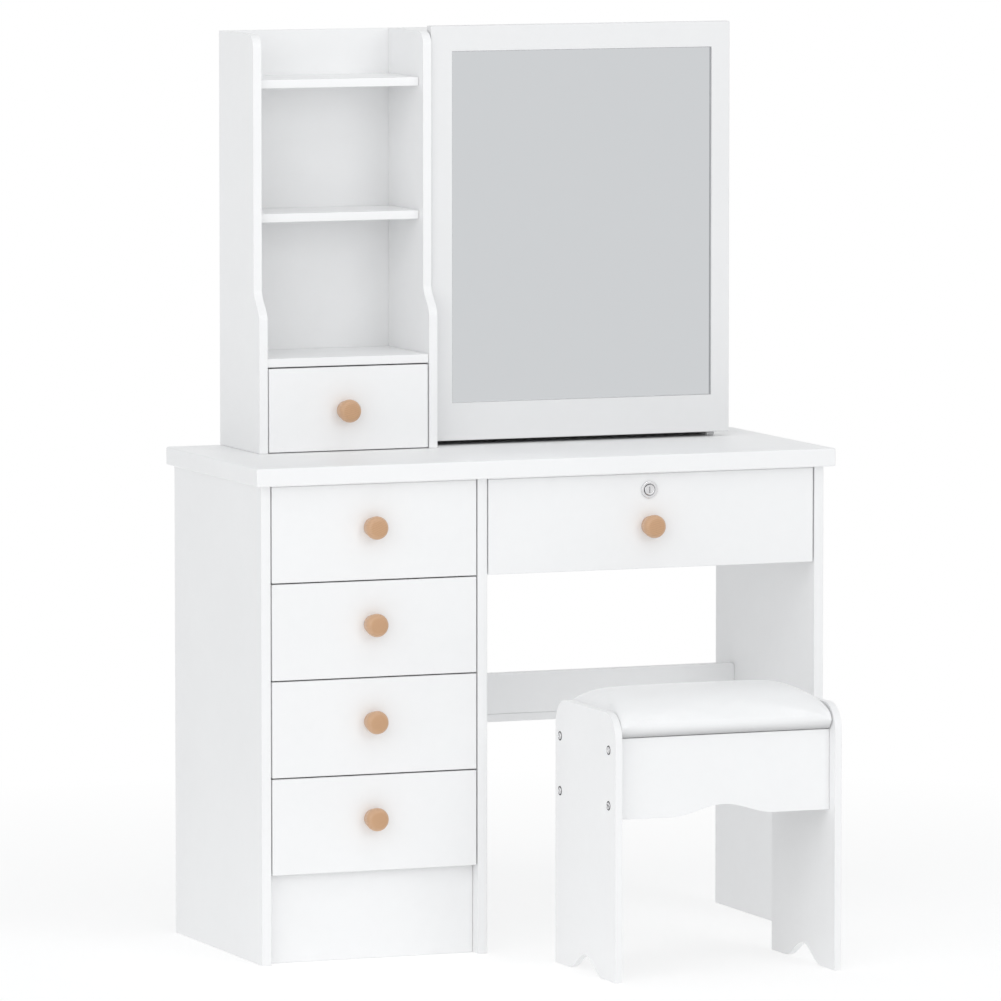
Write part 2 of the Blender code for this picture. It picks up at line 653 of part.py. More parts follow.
def make_tower():
    """Two curved sides, back, two shelves, the cover over the drawer, and the drawer."""
    rebate_z = (DESK_H - OVERRUN, DESK_H + TOWER_H + OVERRUN)
    left = tower_panel("tower_left_panel", TOWER_X[0] - HUTCH_BOARD_T)
    cut_blocks(left, "rebate", [back_rebate(TOWER_X[0], 1, TOP_REAR_Y, rebate_z)])
    right = tower_panel("tower_right_panel", TOWER_X[1])
    cut_blocks(right, "rebate", [back_rebate(TOWER_X[1], -1, TOP_REAR_Y, rebate_z)])
    cut_blocks(right, "cabinet_rebate", [back_rebate(CABINET_X[0], 1, TOP_REAR_Y, rebate_z)])

    back_x = inside((TOWER_X[0] - BACK_REBATE, TOWER_X[1] + BACK_REBATE))
    back_z = (DESK_H + FIT, DESK_H + TOWER_H)
    board("tower_back", back_x, (TOWER_BACK_Y, TOP_REAR_Y), back_z, SHEET)

    shelf_y = (TOP_REAR_Y - TOWER_UPPER_D + SHELF_SETBACK, TOWER_BACK_Y - FIT)
    cover_y = (TOP_REAR_Y - TOWER_LOWER_D + COVER_SETBACK, TOWER_BACK_Y - FIT)
    spans = (
        ("tower_top_shelf", UPPER_SHELF_TOP, shelf_y),
        ("tower_middle_shelf", MIDDLE_SHELF_TOP, shelf_y),
        ("tower_drawer_cover", DRAWER_COVER_TOP, cover_y),
    )
    for name, top, y in spans:
        board(name, inside(TOWER_X), y, (DESK_H + top - HUTCH_BOARD_T, DESK_H + top))

    front_y = TOP_REAR_Y - TOWER_LOWER_D
    front_top = DESK_H + DRAWER_COVER_TOP - HUTCH_BOARD_T - FRONT_GAP
    front_z = (DESK_H + TOWER_FRONT_LIFT, front_top)
    box_y = (front_y + FRONT_T + FIT, TOWER_BACK_Y - TOWER_BOX_REAR_CLEAR)
    box_h = front_top - front_z[0] - TOWER_BOX_LESS
    box = (TOWER_BOX_SIDE_GAP, box_y, FIT - TOWER_FRONT_LIFT, box_h, False)
    knob_z = sum(front_z) / 2 - TOWER_KNOB_DROP
    knob_x = sum(TOWER_X) / 2 - TOWER_KNOB_ASIDE
    pieces = make_drawer("tower_drawer", TOWER_X, front_y, front_z, box, knob_x, knob_z)
    pivot("tower_drawer_slide", (sum(TOWER_X) / 2, front_y, sum(front_z) / 2), pieces)


def make_cabinet():
    """The shallow cabinet between the tower and its own right side, with the tabletop as its floor."""
    side_x = (CABINET_X[1], CABINET_X[1] + HUTCH_BOARD_T)
    side_z = (DESK_H + FIT, DESK_H + TOWER_H)
    side = board("cabinet_right_panel", side_x, (CABINET_FRONT_Y, TOP_REAR_Y), side_z)
    rebate_z = (DESK_H - OVERRUN, side_z[1] + OVERRUN)
    cut_blocks(side, "rebate", [back_rebate(CABINET_X[1], -1, TOP_REAR_Y, rebate_z)])

    back_x = inside((CABINET_X[0] - BACK_REBATE, CABINET_X[1] + BACK_REBATE))
    board("cabinet_back", back_x, (TOWER_BACK_Y, TOP_REAR_Y), side_z, SHEET)
    inner_y = TOWER_BACK_Y - FIT
    top_z = (side_z[1] - HUTCH_BOARD_T, side_z[1])
    board("cabinet_top", inside(CABINET_X), (CABINET_FRONT_Y, inner_y), top_z)
    shelf_y = (CABINET_FRONT_Y + SHELF_SETBACK, inner_y)
    for name, share in zip(("cabinet_lower_shelf", "cabinet_upper_shelf"), CABINET_SHELF_SHARES):
        low = DESK_H + TOWER_H * share
        board(name, inside(CABINET_X), shelf_y, (low, low + HUTCH_BOARD_T))


def make_door():
    """The mirror door: a routed frame, the glass, its backing, and two concealed hinges."""
    frame = board("door_frame", DOOR_X, DOOR_Y, DOOR_Z, width=DOOR_EASE, segments=2)
    window_x = (DOOR_X[0] + STILE_LEFT_W, DOOR_X[1] - STILE_RIGHT_W)
    window_z = (DOOR_Z[0] + RAIL_BOTTOM_H, DOOR_Z[1] - RAIL_TOP_H)
    pocket_x = (window_x[0] - DOOR_LIP_W, window_x[1] + DOOR_LIP_W)
    pocket_z = (window_z[0] - DOOR_LIP_W, window_z[1] + DOOR_LIP_W)
    lip_y = DOOR_Y[0] + DOOR_LIP_T
    cut_blocks(frame, "window", [(window_x, (DOOR_Y[0] - OVERRUN, DOOR_Y[1] + OVERRUN), window_z)])
    cut_blocks(frame, "pocket", [(pocket_x, (lip_y, DOOR_Y[1] + OVERRUN), pocket_z)])

    glass_y = (lip_y + FIT, lip_y + FIT + GLASS_T)
    backing_y = (glass_y[1] + FIT, glass_y[1] + FIT + BACKING_T)
    glass = board("mirror_glass", inside(pocket_x), glass_y, inside(pocket_z), MIRROR)
    backing = board("mirror_backing", inside(pocket_x), backing_y, inside(pocket_z), SHEET)
    pieces = [frame, glass, backing]

    cup_x = DOOR_X[0] + CUP_INSET
    cup_y = (DOOR_Y[1] - CUP_DEPTH - FIT, DOOR_Y[1] + OVERRUN)
    places = (("upper", DOOR_Z[1] - HINGE_END), ("lower", DOOR_Z[0] + HINGE_END))
    for label, z in places:
        cut_round(frame, label + "_cup_bore", CUP_R + FIT, cup_x, z, cup_y)
        pieces.append(make_hinge_cup("hinge_cup_" + label, cup_x, z))
        make_hinge_arm("hinge_arm_" + label, z)
    pivot("mirror_door_hinge", (HINGE_X, HINGE_Y, sum(DOOR_Z) / 2), pieces)


def make_hinge_cup(name, x, z):
    """A hollow cup with a flange on the door's rear face; its open end faces the cabinet."""
    flange_top = FIT + CUP_FLANGE_T
    profile = [
        (0, CUP_WALL - CUP_DEPTH),
        (CUP_R - CUP_WALL, CUP_WALL - CUP_DEPTH),
        (CUP_R - CUP_WALL, flange_top),
        (CUP_FLANGE_R, flange_top),
        (CUP_FLANGE_R, FIT),
        (CUP_R, FIT),
        (CUP_R, -CUP_DEPTH),
        (0, -CUP_DEPTH),
    ]
    cup = turned(name, profile, NICKEL, (x, DOOR_Y[1], z), (-math.pi / 2, 0, 0))
    cup.data.shade_smooth()
    cup.data.set_sharp_from_angle(angle=math.radians(SHARP_ANGLE))
    return cup


def make_hinge_arm(name, z):
    """A cranked arm and its plate on the tower's right side, its tip just behind the cup."""
    face_x = CABINET_X[0] + FIT
    tip_y = DOOR_Y[1] + CUP_FLANGE_T + 2 * FIT
    bend = arc((ARM_REACH - ARM_ROOT_T / 2, ARM_T + ARM_ROOT_T), ARM_ROOT_T, -90, -180, CURVE_STEPS // 2)
    points = [(0, 0), (ARM_REACH, 0), (ARM_REACH, ARM_T)] + bend
    points += [(ARM_ROOT_T, ARM_T + 2 * ARM_ROOT_T), (ARM_ROOT_T, ARM_L), (0, ARM_L)]
    arm = outline(name, points, ARM_H, (face_x, tip_y, z), (0, 0, 0))
    plate_y = (tip_y + ARM_L - PLATE_L, tip_y + ARM_L + PLATE_T)
    plate = ((face_x, face_x + PLATE_T), plate_y, (z - PLATE_H / 2, z + PLATE_H / 2))
    join_blocks(arm, "plate", [plate])
    return paint(arm, NICKEL)


def stool_side(name, x):
    """A stool side: rounded upper corners and a notch between its feet."""
    radius = STOOL_CORNER_R
    middle = STOOL_D / 2
    points = [(0, 0)] + swell(middle - NOTCH_W / 2, middle + NOTCH_W / 2, NOTCH_H, 0) + [(STOOL_D, 0)]
    points += arc((STOOL_D - radius, STOOL_H - radius), radius, 0, 90)
    points += arc((radius, STOOL_H - radius), radius, 90, 180)
    side = outline(name, points, STOOL_SIDE_T, (x + STOOL_SIDE_T / 2, STOOL_Y[0], 0), ACROSS)
    return paint(ease(side, EDGE_EASE), LACQUER)


def stool_apron(name, y):
    """A board between the stool's sides, its lower edge raised to an arch in the middle."""
    half = (SEAT_X[1] - SEAT_X[0]) / 2 - FIT
    points = [(-half, 0)] + swell(-ARCH_W / 2, ARCH_W / 2, ARCH_H, 0) + [(half, 0), (half, APRON_H)]
    points += [(-half, APRON_H)]
    place = (STOOL_MID_X, y + APRON_T / 2, APRON_Z)
    return paint(ease(outline(name, points, APRON_T, place, ALONG), EDGE_EASE), LACQUER)


def make_cushion(seat_box):
    """The crowned cushion: rolls along its front and rear, level ends, and a lip over the seat board.

    A cube's vertices are spread by a sine so that they gather at the edges. Each column then reaches
    from the lower edge to a crowned top, lowered along quarter ellipses beside the edges.
    """
    low = APRON_Z + APRON_H + FIT + SEAT_T - CUSHION_LIP
    edge = STOOL_H - CUSHION_END_DROP - low
    half = Vector(((SEAT_X[1] - SEAT_X[0]) / 2 - CUSHION_SIDE_GAP, STOOL_D / 2 - CUSHION_SETBACK, 0))
    bm = bmesh.new()
    bmesh.ops.create_cube(bm, size=2)
    bmesh.ops.subdivide_edges(bm, edges=bm.edges, cuts=CUSHION_CUTS, use_grid_fill=True)

    def drop(offset, limit, depth, height):
        near = max(0, 1 - (limit - abs(offset)) / depth)
        return height * (1 - math.sqrt(max(0, 1 - near * near)))

    for vert in bm.verts:
        u, v, w = (math.sin(math.pi / 2 * share) for share in vert.co)
        x = u * (half.x - CUSHION_DRAW * (1 - v * v))
        y = v * (half.y - CUSHION_DRAW * (1 - u * u))
        top = edge + CUSHION_CROWN * (1 - abs(u) ** CUSHION_END_POWER) * (1 - abs(v) ** CUSHION_DEPTH_POWER)
        top -= drop(y, half.y, CUSHION_ROLL_D, CUSHION_ROLL_H)
        top -= drop(x, half.x, CUSHION_END_ROLL, CUSHION_END_ROLL)
        level = (w + 1) / 2
        y -= CUSHION_TUCK * v * (1 - level) ** 2
        vert.co = (x, y, level * top)
    cushion = add_mesh("stool_cushion", bm, PARTS, (STOOL_MID_X, sum(STOOL_Y) / 2, low))
    smooth = cushion.modifiers.new("soft_form", "SUBSURF")
    smooth.levels = 1
    smooth.render_levels = 1
    cushion.data.shade_smooth()
    pocket_z = (low - OVERRUN, seat_box[2][1] + FIT)
    cut_blocks(cushion, "seat_pocket", [(inside(seat_box[0], -OVERRUN), inside(seat_box[1], -FIT), pocket_z)])
    return paint(cushion, LEATHERETTE)


def make_stool():
    """Two sides, two aprons, the seat board and its cushion."""
    sides = [
        stool_side("stool_left_side", STOOL_X[0]),
        stool_side("stool_right_side", STOOL_X[1] - STOOL_SIDE_T),
    ]
    front_y = STOOL_Y[0] + APRON_FRONT_SETBACK
    rear_y = STOOL_Y[1] - APRON_REAR_SETBACK - APRON_T
    aprons = [stool_apron("stool_front_apron", front_y), stool_apron("stool_rear_apron", rear_y)]
    seat_z = (APRON_Z + APRON_H + FIT, APRON_Z + APRON_H + FIT + SEAT_T)
    seat_box = (inside(SEAT_X), (front_y + SEAT_INSET, rear_y + APRON_T - SEAT_INSET), seat_z)
    seat = board("stool_seat_board", *seat_box, BOX_BOARD)
    cushion = make_cushion(seat_box)
    pivot("stool_slide", (STOOL_MID_X, STOOL_Y[0], 0), sides + aprons + [seat, cushion])


make_carcass()
make_pedestal_drawers()
make_wide_drawer()
make_tower()
make_cabinet()
make_door()
make_stool()
bpy.context.view_layer.update()
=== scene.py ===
"""Makeup vanity desk with its stool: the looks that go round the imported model.

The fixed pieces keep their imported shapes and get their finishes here. The knobs, the lock and the cushion
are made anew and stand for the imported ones. The stool's bolts, the hinges' fixings, the bead round the
mirror and the strips under the tabletop are added.
Metres, +Z up, and the desk's front faces -Y.
"""

import math

import bmesh
import bpy
import numpy as np
from mathutils import Euler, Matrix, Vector


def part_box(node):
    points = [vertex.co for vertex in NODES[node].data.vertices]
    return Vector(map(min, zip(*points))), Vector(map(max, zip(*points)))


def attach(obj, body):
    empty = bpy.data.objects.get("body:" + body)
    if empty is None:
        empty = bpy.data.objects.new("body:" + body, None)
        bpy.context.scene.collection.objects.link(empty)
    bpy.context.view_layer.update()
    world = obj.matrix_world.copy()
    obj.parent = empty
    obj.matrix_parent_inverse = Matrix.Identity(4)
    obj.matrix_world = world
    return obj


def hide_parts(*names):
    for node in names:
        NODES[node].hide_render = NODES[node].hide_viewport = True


bl_info = {
    "name": "Makeup Vanity Desk",
    "version": (1, 0, 0),
    "blender": (4, 5, 0),
    "location": "3D View > Sidebar > Vanity",
    "description": "Finishes, fittings, cushion and studio for a makeup vanity desk",
    "category": "Object",
}

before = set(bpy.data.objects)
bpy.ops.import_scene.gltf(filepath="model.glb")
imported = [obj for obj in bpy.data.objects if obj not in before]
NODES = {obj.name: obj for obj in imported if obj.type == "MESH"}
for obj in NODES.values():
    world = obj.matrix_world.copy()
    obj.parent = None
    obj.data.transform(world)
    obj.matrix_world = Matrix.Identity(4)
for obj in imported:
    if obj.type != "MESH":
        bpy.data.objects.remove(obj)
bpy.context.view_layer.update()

DRAWERS = [f"pedestal_drawer_{number}" for number in (1, 2, 3, 4)] + ["wide_drawer", "tower_drawer"]
SHEET_NODES = ("pedestal_back", "tower_back", "cabinet_back", "mirror_backing")
STEEL_NODES = ("lock_strike", "hinge_cup_upper", "hinge_cup_lower", "hinge_arm_upper", "hinge_arm_lower")
AROUND = 96  # points on a ring


def colour_property(name, description, default):
    """A colour that a user can change."""
    return bpy.props.FloatVectorProperty(
        name=name, description=description, default=default, size=3, min=0, max=1, subtype="COLOR"
    )


def length_property(name, description, default):
    """A length in metres that a user can change."""
    return bpy.props.FloatProperty(
        name=name, description=description, default=default, min=0, unit="LENGTH", precision=4
    )


def power_property(name, description, default):
    """A lamp's power in watts that a user can change."""
    return bpy.props.FloatProperty(name=name, description=description, default=default, min=0, unit="POWER")


class VanityFinishes(bpy.types.PropertyGroup):
    """Colours of the finishes."""

    lacquer: colour_property("Lacquer", "Satin lacquer on every board in view", (0.91, 0.912, 0.916))
    # The door's lacquer is the satin white made darker, as painted shade on the frame round the mirror.
    door: colour_property("Door lacquer", "Lacquer on the frame round the mirror", (0.825, 0.827, 0.832))
    foil: colour_property("Foil", "Matt foil on the drawer boxes", (0.86, 0.86, 0.85))
    hardboard: colour_property("Hardboard", "Painted side of the thin backs", (0.92, 0.922, 0.925))
    beech_light: colour_property("Beech, long grain", "Sides of the knobs", (0.635, 0.387, 0.226))
    beech_dark: colour_property("Beech, end grain", "Flat faces of the knobs", (0.555, 0.325, 0.178))
    silver: colour_property("Mirror", "Silvering behind the glass", (0.615, 0.63, 0.645))
    nickel: colour_property("Nickel", "Bright plate on the lock", (0.72, 0.72, 0.73))
    steel: colour_property("Zinc steel", "Hinges and strike", (0.62, 0.62, 0.63))
    # The bead's dark grey is painted shade: it stands for the shadow line in the rebate round the glass.
    trim: colour_property("Trim", "Thin bead round the mirror", (0.5, 0.505, 0.515))
    # The sleeves are blackened steel, near black so that they also stand for the shade in each bolt's
    # recess.
    sleeve_black_and_shade: colour_property("Blackened steel", "Sleeves round the bolts", (0.06, 0.06, 0.065))
    leatherette: colour_property("Leatherette", "Cover of the cushion", (0.92, 0.923, 0.928))
    backdrop: colour_property("Backdrop", "Floor and background", (0.92, 0.92, 0.92))


class VanitySizes(bpy.types.PropertyGroup):
    """Sizes of the fittings and of the cushion."""

    knob_length: length_property("Knob length", "From the drawer's front to the knob's face", 0.027)
    knob_radius: length_property("Knob radius", "At its widest, behind the rim", 0.0176)
    knob_face: length_property("Knob face radius", "Radius of the flat face", 0.0102)
    knob_neck: length_property("Knob neck radius", "Where the knob meets the front", 0.0146)
    knob_rim: length_property("Knob rim", "Length of the rounded rim", 0.0098)
    trim_width: length_property("Trim width", "Width of the bead round the mirror", 0.0008)
    screw_radius: length_property("Screw radius", "Radius of the hinge screws' heads", 0.0032)
    bolt_sleeve: length_property("Bolt sleeve", "Outer radius of the sleeve round a bolt", 0.007)
    bolt_radius: length_property("Bolt radius", "Radius of a bolt's head", 0.0053)
    bolt_socket: length_property("Bolt socket", "Half the width of a bolt's hexagon socket", 0.0024)
    cushion_crown: length_property("Cushion crown", "Rise of its middle over its ends", 0.0225)
    cushion_swell: length_property("Cushion swell", "How far its cover may swell", 0.003)
    key_light: power_property("Key light", "Very large soft lamp on the left", 87)
    front_light: power_property("Front light", "Lamp in front, to the right", 24)
    top_light: power_property("Top light", "Soft lamp overhead", 20)
    sky: bpy.props.FloatProperty(
        name="Sky", description="Strength of the even light from all round", default=0.62, min=0
    )


# Meshes from arrays


def mesh_piece(name, points, faces, sharp_degrees=30):
    """A closed mesh with its faces outwards, smooth but for edges sharper than the given angle."""
    mesh = bpy.data.meshes.new(name)
    mesh.from_pydata(points.tolist(), [], faces)
    shape = bmesh.new()
    shape.from_mesh(mesh)
    bmesh.ops.remove_doubles(shape, verts=shape.verts, dist=1e-6)
    bmesh.ops.recalc_face_normals(shape, faces=shape.faces)
    shape.to_mesh(mesh)
    shape.free()
    mesh.shade_smooth()
    mesh.set_sharp_from_angle(angle=math.radians(sharp_degrees))
    made = bpy.data.objects.new(name, mesh)
    bpy.context.scene.collection.objects.link(made)
    return made


def quads_between(low, high, around):
    """Quads that join rings whose first points are low to the rings whose first points are high."""
    row = np.arange(around)
    following = (row + 1) % around
    return np.stack((low + row, low + following, high + following, high + row), -1).reshape(-1, 4).tolist()


def lofted(rings):
    """Points and faces of a closed skin: quads join each ring to the next, and fans close both ends."""
    count, around = rings.shape[:2]
    points = np.vstack((rings.reshape(-1, 3), rings[0].mean(0), rings[-1].mean(0)))
    row, last = np.arange(around), (count - 1) * around
    following = (row + 1) % around
    first_fan = np.stack((np.full(around, count * around), following, row), -1)
    last_fan = np.stack((np.full(around, count * around + 1), last + row, last + following), -1)
    low = np.arange(count - 1)[:, None] * around
    return points, quads_between(low, low + around, around) + first_fan.tolist() + last_fan.tolist()


def shell(rings):
    """Points and faces of a ring-shaped skin: quads join each ring to the next, the last to the first."""
    count, around = rings.shape[:2]
    low = np.arange(count)[:, None] * around
    return rings.reshape(-1, 3), quads_between(low, np.roll(low, -1), around)


def joined(skins):
    """Points and faces of several skins as one."""
    points, faces, base = [], [], 0
    for more_points, more_faces in skins:
        points.append(more_points)
        faces += [[index + base for index in face] for face in more_faces]
        base += len(more_points)
    return np.vstack(points), faces


def full_turn(around=AROUND):
    """Angles of one even full turn."""
    return np.linspace(0, 2 * math.pi, around, endpoint=False)


def polar(radius, turn, height):
    """Points by radius, angle and height: x = r cos t, y = r sin t, z = h."""
    return np.stack((radius * np.cos(turn), radius * np.sin(turn), height + 0 * turn), -1)


def turned_rings(radii, heights, around=AROUND):
    """Circles of the given radii at the given heights along +Z."""
    radii, heights = np.asarray(radii, float)[:, None], np.asarray(heights, float)[:, None]
    return polar(radii, full_turn(around), heights)


def dome_rings(radius, height, steps):
    """Circles up and in over the quarter-round edge of a low head."""
    quarter = np.linspace(0, math.pi / 2, steps)
    return list(turned_rings(radius - height * (1 - np.cos(quarter)), height * np.sin(quarter)))


def polygon_ring(sides, inner_radius, height):
    """A ring on a regular polygon: its inner radius over the cosine of the angle off a side's middle."""
    turn, span = full_turn(), 2 * math.pi / sides
    return polar(inner_radius / np.cos((turn + span / 2) % span - span / 2), turn, height)


def cross_ring(half_length, half_width, height):
    """A ring on a plus sign: at each angle the reach of the longer of its two crossed bars."""
    turn = full_turn()
    cos, sin = np.abs(np.cos(turn)) + 1e-9, np.abs(np.sin(turn)) + 1e-9
    lying = np.minimum(half_length / cos, half_width / sin)
    standing = np.minimum(half_width / cos, half_length / sin)
    return polar(np.maximum(lying, standing), turn, height)


def box_ring(half_x, half_y, height, around=AROUND):
    """A ring on a rectangle, each quarter of it on one side, from corner to corner at an even pace."""
    share = np.arange(around) / around * 4
    side, along = share.astype(int), share % 1 * 2 - 1
    x = np.choose(side, (half_x + 0 * along, -half_x * along, -half_x + 0 * along, half_x * along))
    y = np.choose(side, (half_y * along, half_y + 0 * along, -half_y * along, -half_y + 0 * along))
    x, y = np.roll(x, -around // 8), np.roll(y, -around // 8)
    return np.stack((x, y, height + 0 * along), -1)


def box_rings(half_x, half_y, steps, around=AROUND):
    """A ring on a rectangle for each step: drawn in by its first value, at the height of its second."""
    return np.array([box_ring(half_x - less, half_y - less, height, around) for less, height in steps])


def eased_box_rings(half_x, half_y, height, ease, around=AROUND):
    """A box's rings from its lower to its upper face, drawn in over the eased edges."""
    steps = ((ease, 0), (0, ease), (0, height - ease), (ease, height))
    return box_rings(half_x, half_y, steps, around)


def placed(points, place, turn=(0, 0, 0)):
    """Points turned about the axes and moved to their place."""
    spin = np.array(Euler(turn).to_matrix())
    return points @ spin.T + np.asarray(place)


def copies(skin, places, turn):
    """A skin turned and put at each of several places."""
    points, faces = skin
    return [(placed(points, place, turn), faces) for place in places]


FACING_FRONT = (math.pi / 2, 0, 0)  # local +Z looks along -Y
FACING_REAR = (-math.pi / 2, 0, 0)
FACING_LEFT = (0, -math.pi / 2, 0)
FACING_RIGHT = (0, math.pi / 2, 0)


def middle_of(node):
    """Middle of a node's box, and the box's lowest and highest corners."""
    low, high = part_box(node)
    return (low + high) / 2, low, high


# Materials


class Field:
    """A socket in a node tree. Sums, products and powers of fields add Math nodes."""

    def __init__(self, nodes, socket):
        self.nodes = nodes
        self.socket = socket

    def calculated(self, operation, *values):
        return self.nodes.node("ShaderNodeMath", {"operation": operation}, dict(enumerate(values)))

    def __add__(self, other):
        return self.calculated("ADD", self, other)

    def __radd__(self, other):
        return self.calculated("ADD", other, self)

    def __sub__(self, other):
        return self.calculated("SUBTRACT", self, other)

    def __rsub__(self, other):
        return self.calculated("SUBTRACT", other, self)

    def __mul__(self, other):
        return self.calculated("MULTIPLY", self, other)

    def __rmul__(self, other):
        return self.calculated("MULTIPLY", other, self)

    def __pow__(self, other):
        return self.calculated("POWER", self, other)

    def __abs__(self):
        return self.calculated("ABSOLUTE", self)

    def sine(self):
        return self.calculated("SINE", self)

    def or_larger(self, other):
        return self.calculated("MAXIMUM", self, other)


class Nodes:
    """A node tree whose nodes are written as expressions on fields."""

    def __init__(self, tree):
        self.tree = tree

    def node(self, kind, settings=None, inputs=None, output=0):
        """Adds a node: its settings come first, then the values or links of its sockets."""
        made = self.tree.nodes.new(kind)
        for name, value in (settings or {}).items():
            setattr(made, name, value)
        for name, value in (inputs or {}).items():
            self.feed(made.inputs[name], value)
        return Field(self, made.outputs[output])

    def feed(self, socket, value):
        """Links a field to a socket, or sets the socket's own value."""
        if isinstance(value, Field):
            self.tree.links.new(value.socket, socket)
        elif socket.type == "RGBA":
            socket.default_value = (*value, 1)
        else:
            socket.default_value = value

    def between(self, share, first, second):
        """A shader between two others."""
        return self.node("ShaderNodeMixShader", None, {0: share, 1: first, 2: second})

    def seen(self):
        """1 for what an eye, metal or glass sees, and 0 for what only gives light."""
        outputs = self.node("ShaderNodeLightPath").socket.node.outputs
        kinds = ("Is Camera Ray", "Is Glossy Ray", "Is Transmission Ray")
        camera, glossy, through = (Field(self, outputs[kind]) for kind in kinds)
        return camera.or_larger(glossy).or_larger(through)


class Finish(Nodes):
    """A material and the nodes of its main shader."""

    def __init__(self, name):
        self.material = bpy.data.materials.new(name)
        self.material.use_nodes = True
        super().__init__(self.material.node_tree)
        self.shader = self.tree.nodes["Principled BSDF"]

    def set(self, **values):
        """Sets or links inputs of the main shader; an underscore stands for a space."""
        for name, value in values.items():
            self.feed(self.shader.inputs[name.replace("_", " ")], value)
        return self

    def place(self, scale=(1, 1, 1)):
        """Object coordinates, scaled."""
        point = self.node("ShaderNodeTexCoord", output="Object")
        return self.node("ShaderNodeMapping", None, {"Vector": point, "Scale": scale})

    def noise(self, vector, scale, detail, roughness=0.5, distortion=0.0):
        """Soft noise from 0 to 1 with cells of about one over its scale."""
        values = {"Vector": vector, "Scale": scale, "Detail": detail, "Roughness": roughness}
        values["Distortion"] = distortion
        return self.node("ShaderNodeTexNoise", None, values)

    def ranged(self, value, low, high, to_low, to_high):
        """Maps low..high to to_low..to_high and stops at both ends."""
        values = {0: value, 1: low, 2: high, 3: to_low, 4: to_high}
        return self.node("ShaderNodeMapRange", {"clamp": True}, values)

    def mixed(self, share, first, second):
        """Colour between two others."""
        values = {0: share, 6: first, 7: second}
        return self.node("ShaderNodeMix", {"data_type": "RGBA", "clamp_factor": True}, values, output=2)

    def axes(self, vector):
        """The x, y and z of a vector."""
        first = self.node("ShaderNodeSeparateXYZ", None, {0: vector})
        return [Field(self, socket) for socket in first.socket.node.outputs]

    def bumped(self, height, distance, strength):
        """A height field as relief, in metres."""
        values = {"Height": height, "Distance": distance, "Strength": strength}
        return self.set(Normal=self.node("ShaderNodeBump", None, values))


def shade(colour, factor):
    """A colour made darker or lighter by a factor."""
    return tuple(min(1.0, channel * factor) for channel in colour)


def lacquer_finish(name, colour):
    """Satin lacquer on board: faint clouds, a fine orange-peel relief and uneven gloss."""
    finish = Finish(name)
    place = finish.place()
    cloud = finish.noise(place, 6, 3)
    speck = finish.noise(place, 60, 2)
    tone = finish.ranged(cloud * 0.7 + speck * 0.3, 0.3, 0.7, 0, 1)
    finish.set(
        Base_Color=finish.mixed(tone, shade(colour, 0.985), shade(colour, 1.01)),
        Roughness=finish.ranged(finish.noise(place, 25, 4), 0.3, 0.7, 0.36, 0.46),
    )
    peel = finish.noise(place, 420, 2) + finish.noise(place, 1300, 1) * 0.3
    return finish.bumped(peel, 0.00004, 0.5)


def foil_finish(name, colour):
    """Matt foil on board, with a fine linen relief of two crossed sets of threads."""
    finish = Finish(name)
    place = finish.place()
    x, y, z = finish.axes(place)
    pace, wander = 3800, finish.noise(place, 90, 2) * 2
    threads = ((x + y) * pace + wander).sine() * 0.5 + (z * pace + wander).sine() * 0.5
    tone = finish.noise(place, 12, 4)
    finish.set(
        Base_Color=finish.mixed(tone, shade(colour, 0.97), shade(colour, 1.01)),
        Roughness=finish.ranged(tone, 0.3, 0.7, 0.52, 0.64),
    )
    return finish.bumped(threads, 0.00003, 0.4)


def hardboard_finish(name, colour):
    """Painted hardboard: short pressed fibres under a thin matt coat."""
    finish = Finish(name)
    place = finish.place()
    fibre = finish.noise(finish.place(scale=(1, 1, 4)), 220, 5, 0.7, 0.6)
    cloud = finish.noise(place, 14, 3)
    tone = fibre * 0.5 + cloud * 0.5
    finish.set(
        Base_Color=finish.mixed(tone, shade(colour, 0.95), shade(colour, 1.03)),
        Roughness=finish.ranged(fibre, 0.3, 0.7, 0.55, 0.72),
    )
    return finish.bumped(fibre, 0.00008, 0.5)


def beech_finish(name, light, dark):
    """Beech turned along its grain, which runs along Y.

    Year rings are bands of the distance from a pith line that lies off each knob, bent by slow noise.
    Fibres are noise drawn out along Y, and short dark rays fleck the long grain.
    """
    finish = Finish(name)
    place = finish.place()
    x, _, z = finish.axes(place)
    pith_x, pith_z, pace = -0.031, 0.017, 2100
    bend = finish.noise(place, 45, 2) * 0.006
    across = ((x - pith_x) ** 2 + (z - pith_z) ** 2) ** 0.5 + bend
    rings = (across * pace).sine() * 0.5 + 0.5
    fibre = finish.noise(finish.place(scale=(1, 0.06, 1)), 1500, 3, 0.6)
    ray = finish.noise(finish.place(scale=(1, 0.25, 0.5)), 900, 1)
    normal = finish.node("ShaderNodeNewGeometry", output="Normal")
    end_grain = finish.ranged(abs(finish.axes(normal)[1]), 0.8, 0.99, 0, 1)
    grain, bands = fibre * 0.6 + rings * 0.4, rings * 0.7 + fibre * 0.3
    long_tone = finish.mixed(grain, shade(light, 0.86), light)
    end_tone = finish.mixed(bands, shade(dark, 0.93), shade(dark, 1.07))
    wood = finish.mixed(end_grain, long_tone, end_tone)
    fleck = finish.ranged(ray, 0.66, 0.74, 0, 0.35)
    finish.set(
        Base_Color=finish.mixed(fleck, wood, shade(dark, 0.55)),
        Roughness=finish.ranged(fibre, 0.3, 0.7, 0.36, 0.5),
        Coat_Weight=0.25,
        Coat_Roughness=0.25,
    )
    return finish.bumped(grain, 0.00006, 0.35)


def mirror_finish(name, colour):
    """Silvered glass: near perfect, with a breath of dust in its gloss."""
    finish = Finish(name)
    place = finish.place()
    dust = finish.noise(place, 35, 4, 0.6)
    finish.set(
        Base_Color=finish.mixed(dust, shade(colour, 0.995), shade(colour, 1.005)),
        Metallic=1.0,
        Roughness=finish.ranged(dust, 0.4, 0.8, 0.012, 0.03),
    )
    return finish


